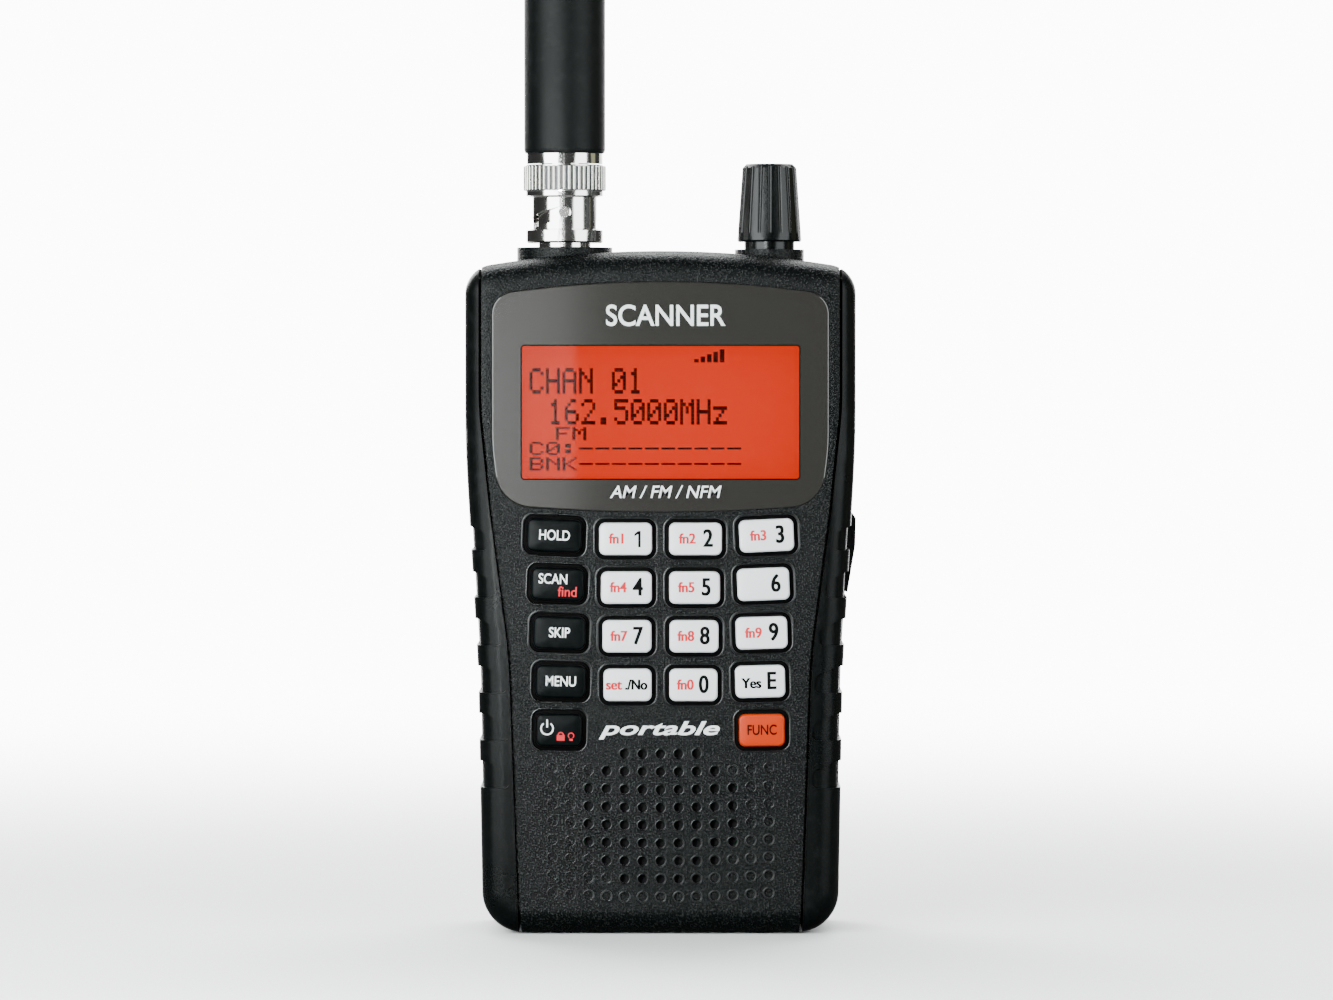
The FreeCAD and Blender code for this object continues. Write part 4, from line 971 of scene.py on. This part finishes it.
class SCANNER_OT_legends(bpy.types.Operator):
    """Print generic numbers and words on the keys"""

    bl_idname = "scanner.legends"
    bl_label = "Key legends"

    def execute(self, context):
        for key in key_list():
            self.print_key(key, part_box(key.name)[0][1] + KEY_INSET - INK)
        return {"FINISHED"}

    def print_key(self, key, face):
        """Print a key's main legend and its second one."""
        name = key.name
        main, second = LEGENDS[name]
        size = sizes()
        prints = []

        def write(words, ink, height, x, z=0.0, squeeze=0.80, weight=0.0):
            """Letters at a place on the key, doubled side by side where they are bold."""
            copies = ((-weight, 0.0), (weight, SECOND_COPY)) if weight else ((0.0, 0.0),)
            for shift, raised in copies:
                spot = place_on_key([(x + shift, z)], key, face - raised)[0]
                prints.append((letter_mesh(words, height, spot, key.lean, squeeze, 0.02), ink))

        if name == "key_power":
            prints.append((self.power_sign(key, face), "legend_white"))
            prints.append((self.lock_sign(key, face), "legend_red"))
        elif name == "key_func":
            write(main, "legend_dark_red", size.word_height, 0.0)
        elif name in BLACK_KEYS and second:
            write(main, "legend_white", size.word_height, -0.0008, 0.00085)
            write(second, "legend_red", size.small_height, 0.0018, -0.0013, 0.92)
        elif name in BLACK_KEYS:
            write(main, "legend_white", size.word_height, 0.0)
        elif name == "key_no":
            write(second, "legend_red", size.small_height, -0.0024, 0.0, 0.92, BOLD_RED)
            write(main, "legend_black", size.small_height, 0.0015, 0.0, 0.85, BOLD_BLACK)
        else:
            figure = key.half_width - 0.0024
            if main == "1":
                prints.append((self.figure_one(key, face, figure), "legend_black"))
            else:
                write(main, "legend_black", size.digit_height, figure, 0.0, 0.80, BOLD_BLACK)
            write(second, "legend_red", size.small_height, -0.0014, 0.0, 0.92, BOLD_RED)
            if name == "key_enter":
                write("Yes", "legend_black", size.small_height, -0.0015, -0.0003, 0.92,
                      BOLD_BLACK)
        meshes = [mesh for mesh, ink in prints if mesh.polygons]
        inks = [ink for mesh, ink in prints if mesh.polygons]
        mesh = merge_meshes("legend_" + name, meshes)
        add_piece("legend_" + name, mesh, name + "_cap", key_finish(name)[0], *inks)

    def arc(self, x, z, radius, width, start, stop, steps=24):
        """Four-sided pieces of a ring, each as (x, z) corners; angles in degrees."""
        rings = []
        for step in range(steps + 1):
            angle = math.radians(start + (stop - start) * step / steps)
            rings.append([(x + reach * math.cos(angle), z + reach * math.sin(angle))
                          for reach in (radius - width / 2, radius + width / 2)])
        return [(rings[step][0], rings[step][1], rings[step + 1][1], rings[step + 1][0])
                for step in range(steps)]

    def sign_mesh(self, shapes, key, face):
        """Thin raised ink in the shape of flat pieces."""
        work = bmesh.new()
        for shape in shapes:
            add_face(work, place_on_key(shape, key, face))
        bmesh.ops.remove_doubles(work, verts=work.verts, dist=1e-7)
        thicken(work, INK)
        bmesh.ops.recalc_face_normals(work, faces=work.faces)
        return to_mesh(work, "sign")

    def figure_one(self, key, face, x):
        """The figure 1: an upright bar with a flag."""
        half = sizes().digit_height * 0.46
        flag = [(x - 0.00065, half - 0.00095), (x, half - 0.00055), (x, half),
                (x - 0.00065, half - 0.00050)]
        return self.sign_mesh([rectangle(x, x + 0.00045, -half, half), flag], key, face)

    def power_sign(self, key, face):
        """An open ring with an upright bar."""
        x, z, half_bar = -0.0021, 0.0003, 0.00014
        shapes = self.arc(x, z, 0.00105, 0.00027, 125, 415)
        shapes.append(rectangle(x - half_bar, x + half_bar, z + 0.0002, z + 0.0016))
        return self.sign_mesh(shapes, key, face)

    def lock_sign(self, key, face):
        """A padlock and a lamp."""
        shapes = self.arc(0.0003, -0.0008, 0.00045, 0.00022, 0, 180, 12)
        shapes.append(rectangle(-0.0004, 0.0010, -0.0018, -0.0008))
        shapes += self.arc(0.0021, -0.0009, 0.00048, 0.00018, -50, 230, 16)
        shapes.append(rectangle(0.0018, 0.0024, -0.0018, -0.0014))
        return self.sign_mesh(shapes, key, face)


class SCANNER_OT_antenna(bpy.types.Operator):
    """Build the antenna and its bayonet coupling"""

    bl_idname = "scanner.antenna"
    bl_label = "Antenna"

    def execute(self, context):
        self.build_whip()
        self.build_ring()
        finish_node("antenna_jack", "handset", "nickel_bright", "nickel", 35)
        finish_node("antenna_plug", "antenna", "nickel_bright", "nickel", 35)
        recolour("insulator", "jack_insulator")
        recolour("brass", "jack_nut", "antenna_contact", "antenna_coil")
        recolour("steel", "spring_washer")
        return {"FINISHED"}

    def build_whip(self):
        """The moulded rubber: a straight foot, a long taper and a round tip."""
        low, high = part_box("antenna_sheath")
        middle = middle_of("antenna_sheath")
        radius = (high[0] - low[0]) / 2
        foot, tip = low[2], high[2]
        start, shoulder = foot + 0.0009, foot + 0.0451
        tip_radius, tip_height = radius * 0.685, 0.0045
        profile = [(0.0016, foot), (radius - 0.0006, foot), (radius - 0.00018, foot + 0.00018),
                   (radius, foot + 0.0007)]
        for step in range(13):
            profile.append((radius, start + (shoulder - start) * step / 12))
        for step in range(1, 25):
            share = step / 24
            eased = share * share * (3 - 2 * share) * 0.25 + share * 0.75
            profile.append((radius + (tip_radius - radius) * eased,
                            shoulder + (tip - tip_height - shoulder) * share))
        for step in range(1, 10):
            angle = math.radians(90 * step / 9)
            profile.append((max(tip_radius * math.cos(angle), 0.00002),
                            tip - tip_height + tip_height * math.sin(angle)))
        add_piece("antenna_rubber", lathe("antenna_rubber", profile, middle.x, middle.y),
                  "antenna", "antenna_rubber", "rubber", stands_for=("antenna_sheath",))

    def build_ring(self):
        """The slotted ring from its node, and a band of ribs round its grip, with painted shade
        as darker metal on the ribs and on the core between them.
        """
        node = "coupling_ring"
        low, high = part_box(node)
        middle = middle_of(node)
        radius = (high[0] - low[0]) / 2
        band_height = 0.0046
        band_low, band_high = high[2] - band_height, high[2]
        rib = sizes().knurl_radius
        core = radius - rib * 1.5
        work = node_work(node)
        for vertex in work.verts:
            flat = Vector((vertex.co.x - middle.x, vertex.co.y - middle.y))
            if flat.length > core and vertex.co.z > band_low:
                flat = flat.normalized() * core
                vertex.co.x, vertex.co.y = middle.x + flat.x, middle.y + flat.y
        # The core's side faces in the band, between the ribs, take the dark metal as painted
        # shade.
        for face in work.faces:
            spot = face.calc_center_median()
            reach = math.hypot(spot.x - middle.x, spot.y - middle.y)
            on_side = abs(face.normal.z) < 0.5 and reach > core * 0.97
            face.material_index = int(on_side and spot.z > band_low)
        mesh = weight_normals("ring_body", to_mesh(work, "ring_body", 30))
        add_piece("ring_body", mesh, "coupling", "nickel_bright", "nickel", "rib_gap_painted_shade",
                  stands_for=(node,))
        points = circle(middle.x, middle.y, radius - rib, (band_low + band_high) / 2,
                        sizes().knurl_count)
        # The ribs take the darkened chrome, a painted shade.
        values = {"Rib Radius": rib, "Rib Length": band_height - 0.0003,
                  "Material": finish("knurl_painted_shade")}
        ribs = run_tree("ring_knurl", points, ribs_tree(), values)
        work = bmesh.new()
        work.from_mesh(ribs)
        rims = [edge for edge in work.edges if edge.calc_face_angle(0.0) > 1.2]
        bmesh.ops.bevel(work, geom=rims, offset=0.0001, segments=1, affect="EDGES")
        add_piece("ring_knurl", to_mesh(work, "ring_knurl", 40), "coupling", "nickel_bright",
                  "knurl_painted_shade")


class SCANNER_OT_knob(bpy.types.Operator):
    """Finish the control knob and what turns with it"""

    bl_idname = "scanner.knob"
    bl_label = "Control knob"

    def execute(self, context):
        finish_node("control_knob", "knob", "knob_black", "knob", 30)
        recolour("steel", "encoder_shaft", "encoder_body")
        recolour("socket", "push_slider")
        return {"FINISHED"}


class SCANNER_OT_back(bpy.types.Operator):
    """Finish the belt clip and its pin, spring and bracket"""

    bl_idname = "scanner.back"
    bl_label = "Belt clip"

    def execute(self, context):
        finish_node("clip_lever", "clip", "case_black", "case", 30)
        finish_node("clip_bracket", "handset", "case_black", "case", 30)
        finish_node("clip_pin", "handset", "steel_plate", "steel")
        finish_node("clip_spring", "handset", "steel_plate", "steel", 50)
        return {"FINISHED"}


class SCANNER_OT_inside(bpy.types.Operator):
    """Give the boards, sockets and batteries their finishes"""

    bl_idname = "scanner.inside"
    bl_label = "Inside"

    def execute(self, context):
        recolour("board", "front_board", "main_board")
        recolour("steel", "rf_shield", "data_port", "battery_contacts")
        recolour("cell", "battery_cells")
        finish_node("phones_jack", "handset", "socket_black", "socket")
        return {"FINISHED"}


# ---- stage ------------------------------------------------------------------------------

def add_light(name, place, target, width, height, power, tint):
    """A soft box that lights the object but isn't seen itself."""
    light = bpy.data.lights.new(name, "AREA")
    light.shape = "RECTANGLE"
    light.size = width
    light.size_y = height
    light.energy = power
    light.color = tint
    lamp = link_object(name, light)
    lamp.location = place
    way = Vector(target) - Vector(place)
    lamp.rotation_euler = way.to_track_quat("-Z", "Y").to_euler()
    lamp.visible_camera = False


class SCANNER_OT_stage(bpy.types.Operator):
    """Add the pale floor, the soft lights and the camera"""

    bl_idname = "scanner.stage"
    bl_label = "Stage"

    def execute(self, context):
        self.add_floor()
        self.add_lights()
        self.add_camera()
        return {"FINISHED"}

    def add_floor(self):
        mesh = bpy.data.meshes.new("floor")
        reach = 4.0
        corners = [(x, y, 0) for x, y in rectangle(-reach, reach, -reach, reach)]
        mesh.from_pydata(corners, [], [(0, 1, 2, 3)])
        mesh.materials.append(self.floor_material())
        link_object("floor", mesh)

    def floor_material(self):
        """A pale floor that fades into the backdrop, and that hardly lights the object."""
        material, tree, shader = new_material("pale_floor")
        seen, place = camera_ray(tree), object_place(tree)
        cloud = maths(tree, "MULTIPLY_ADD", noise(tree, place, 3.0, 2.0), 0.03, 0.88)
        shade = blend_colours(tree, maths(tree, "MULTIPLY", cloud, seen), (0.06, 0.06, 0.06),
                              WHITE)
        feed(tree, shader, {"Base Color": shade, "Roughness": 0.9, "Specular IOR Level": 0.1})
        span = add_node(tree, "ShaderNodeVectorMath", {0: place}, operation="LENGTH")["Value"]
        far = spread(tree, span, 0.06, 0.75, interpolation_type="SMOOTHERSTEP")
        light = add_node(tree, "ShaderNodeEmission", {"Strength": BACKDROP})[0]
        inputs = {0: maths(tree, "MULTIPLY", far, seen), 1: shader.outputs[0], 2: light}
        mix = add_node(tree, "ShaderNodeMixShader", inputs)
        feed(tree, tree.nodes["Material Output"], {"Surface": mix[0]})
        return material

    def add_lights(self):
        """A bright backdrop, dim surroundings in reflections, and soft boxes."""
        world = bpy.data.worlds.new("studio")
        bpy.context.scene.world = world
        world.use_nodes = True
        tree = world.node_tree
        strength = maths(tree, "MULTIPLY_ADD", camera_ray(tree), BACKDROP - SURROUND, SURROUND)
        feed(tree, tree.nodes["Background"], {"Color": (*WHITE, 1.0), "Strength": strength})
        front = (0.0, FRONT_Y, 0.09)
        middle = (0.0, 0.0, 0.09)
        card = (-0.0530, FRONT_Y - 1.01, 0.0850)
        boxes = (
            ("left_panel", (-0.310, -0.350, 0.17), front, 0.38, 0.46, 5.9, COOL_LIGHT),
            ("right_panel", (0.350, -0.290, 0.17), front, 0.32, 0.46, 2.6, COOL_LIGHT),
            ("left_near", (-0.080, -0.30, 0.080), (-0.03, FRONT_Y, 0.077), 0.04, 0.07, 0.82,
             COOL_LIGHT),
            ("side_warm", (0.48, 0.06, 0.14), (0.0, 0.0, 0.12), 0.16, 0.40, 0.08,
             (1.0, 1.0, 0.6)),
            ("top_back", (0.0, 0.55, 0.95), middle, 0.80, 0.35, 9.0, COOL_LIGHT),
            ("back_left", (-0.55, 0.80, 0.50), middle, 0.35, 0.50, 7.0, WHITE),
            ("back_right", (0.60, 0.75, 0.40), middle, 0.25, 0.50, 1.2, WHITE),
            ("rear_fill", (0.0, 0.60, 0.12), (0.0, 0.0, 0.08), 0.60, 0.30, 4.0, WHITE),
            ("floor_wash", (0.0, 1.9, 2.2), (0.0, 1.9, 0.0), 3.4, 2.6, 190.0, WHITE),
            ("lens_card", card, Vector(card) + Vector((0.0, 1.0, 0.0)), 0.044, 0.13, 0.037,
             WHITE),
        )
        for box in boxes:
            add_light(*box)

    def add_camera(self):
        """A long lens straight in front, just above the middle of the radio."""
        lens = bpy.data.cameras.new("camera")
        camera = link_object("camera", lens)
        distance = 1.0
        elevation = math.radians(1.5)
        width_seen = 0.2326
        lens.sensor_width = 36.0
        lens.lens = lens.sensor_width * distance / width_seen
        lens.clip_start = 0.01
        aim = Vector((0.00105, FRONT_Y, 0.0762))
        back = Vector((0.0, -math.cos(elevation), math.sin(elevation)))
        camera.location = aim + back * distance
        camera.rotation_euler = (-back).to_track_quat("-Z", "Y").to_euler()
        bpy.context.scene.camera = camera


OPERATORS = (
    SCANNER_OT_casing, SCANNER_OT_grille, SCANNER_OT_display, SCANNER_OT_keys,
    SCANNER_OT_legends, SCANNER_OT_antenna, SCANNER_OT_knob, SCANNER_OT_back,
    SCANNER_OT_inside, SCANNER_OT_stage,
)


class SCANNER_PT_panel(bpy.types.Panel):
    """Buttons that build the scanner piece by piece"""

    bl_idname = "SCANNER_PT_panel"
    bl_label = "Scanner"
    bl_space_type = "VIEW_3D"
    bl_region_type = "UI"
    bl_category = "Scanner"

    def draw(self, context):
        for operator in OPERATORS:
            self.layout.operator(operator.bl_idname)


CLASSES = (ScannerSizes, ScannerColours, SCANNER_PT_panel) + OPERATORS


def register():
    for cls in CLASSES:
        bpy.utils.register_class(cls)
    bpy.types.Scene.scanner_sizes = PointerProperty(type=ScannerSizes)
    bpy.types.Scene.scanner_colours = PointerProperty(type=ScannerColours)


def unregister():
    del bpy.types.Scene.scanner_colours
    del bpy.types.Scene.scanner_sizes
    for cls in reversed(CLASSES):
        bpy.utils.unregister_class(cls)


def main():
    register()
    make_materials()
    for operator in OPERATORS:
        group, name = operator.bl_idname.split(".")
        getattr(getattr(bpy.ops, group), name)()
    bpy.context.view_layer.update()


if __name__ == "__main__":
    main()
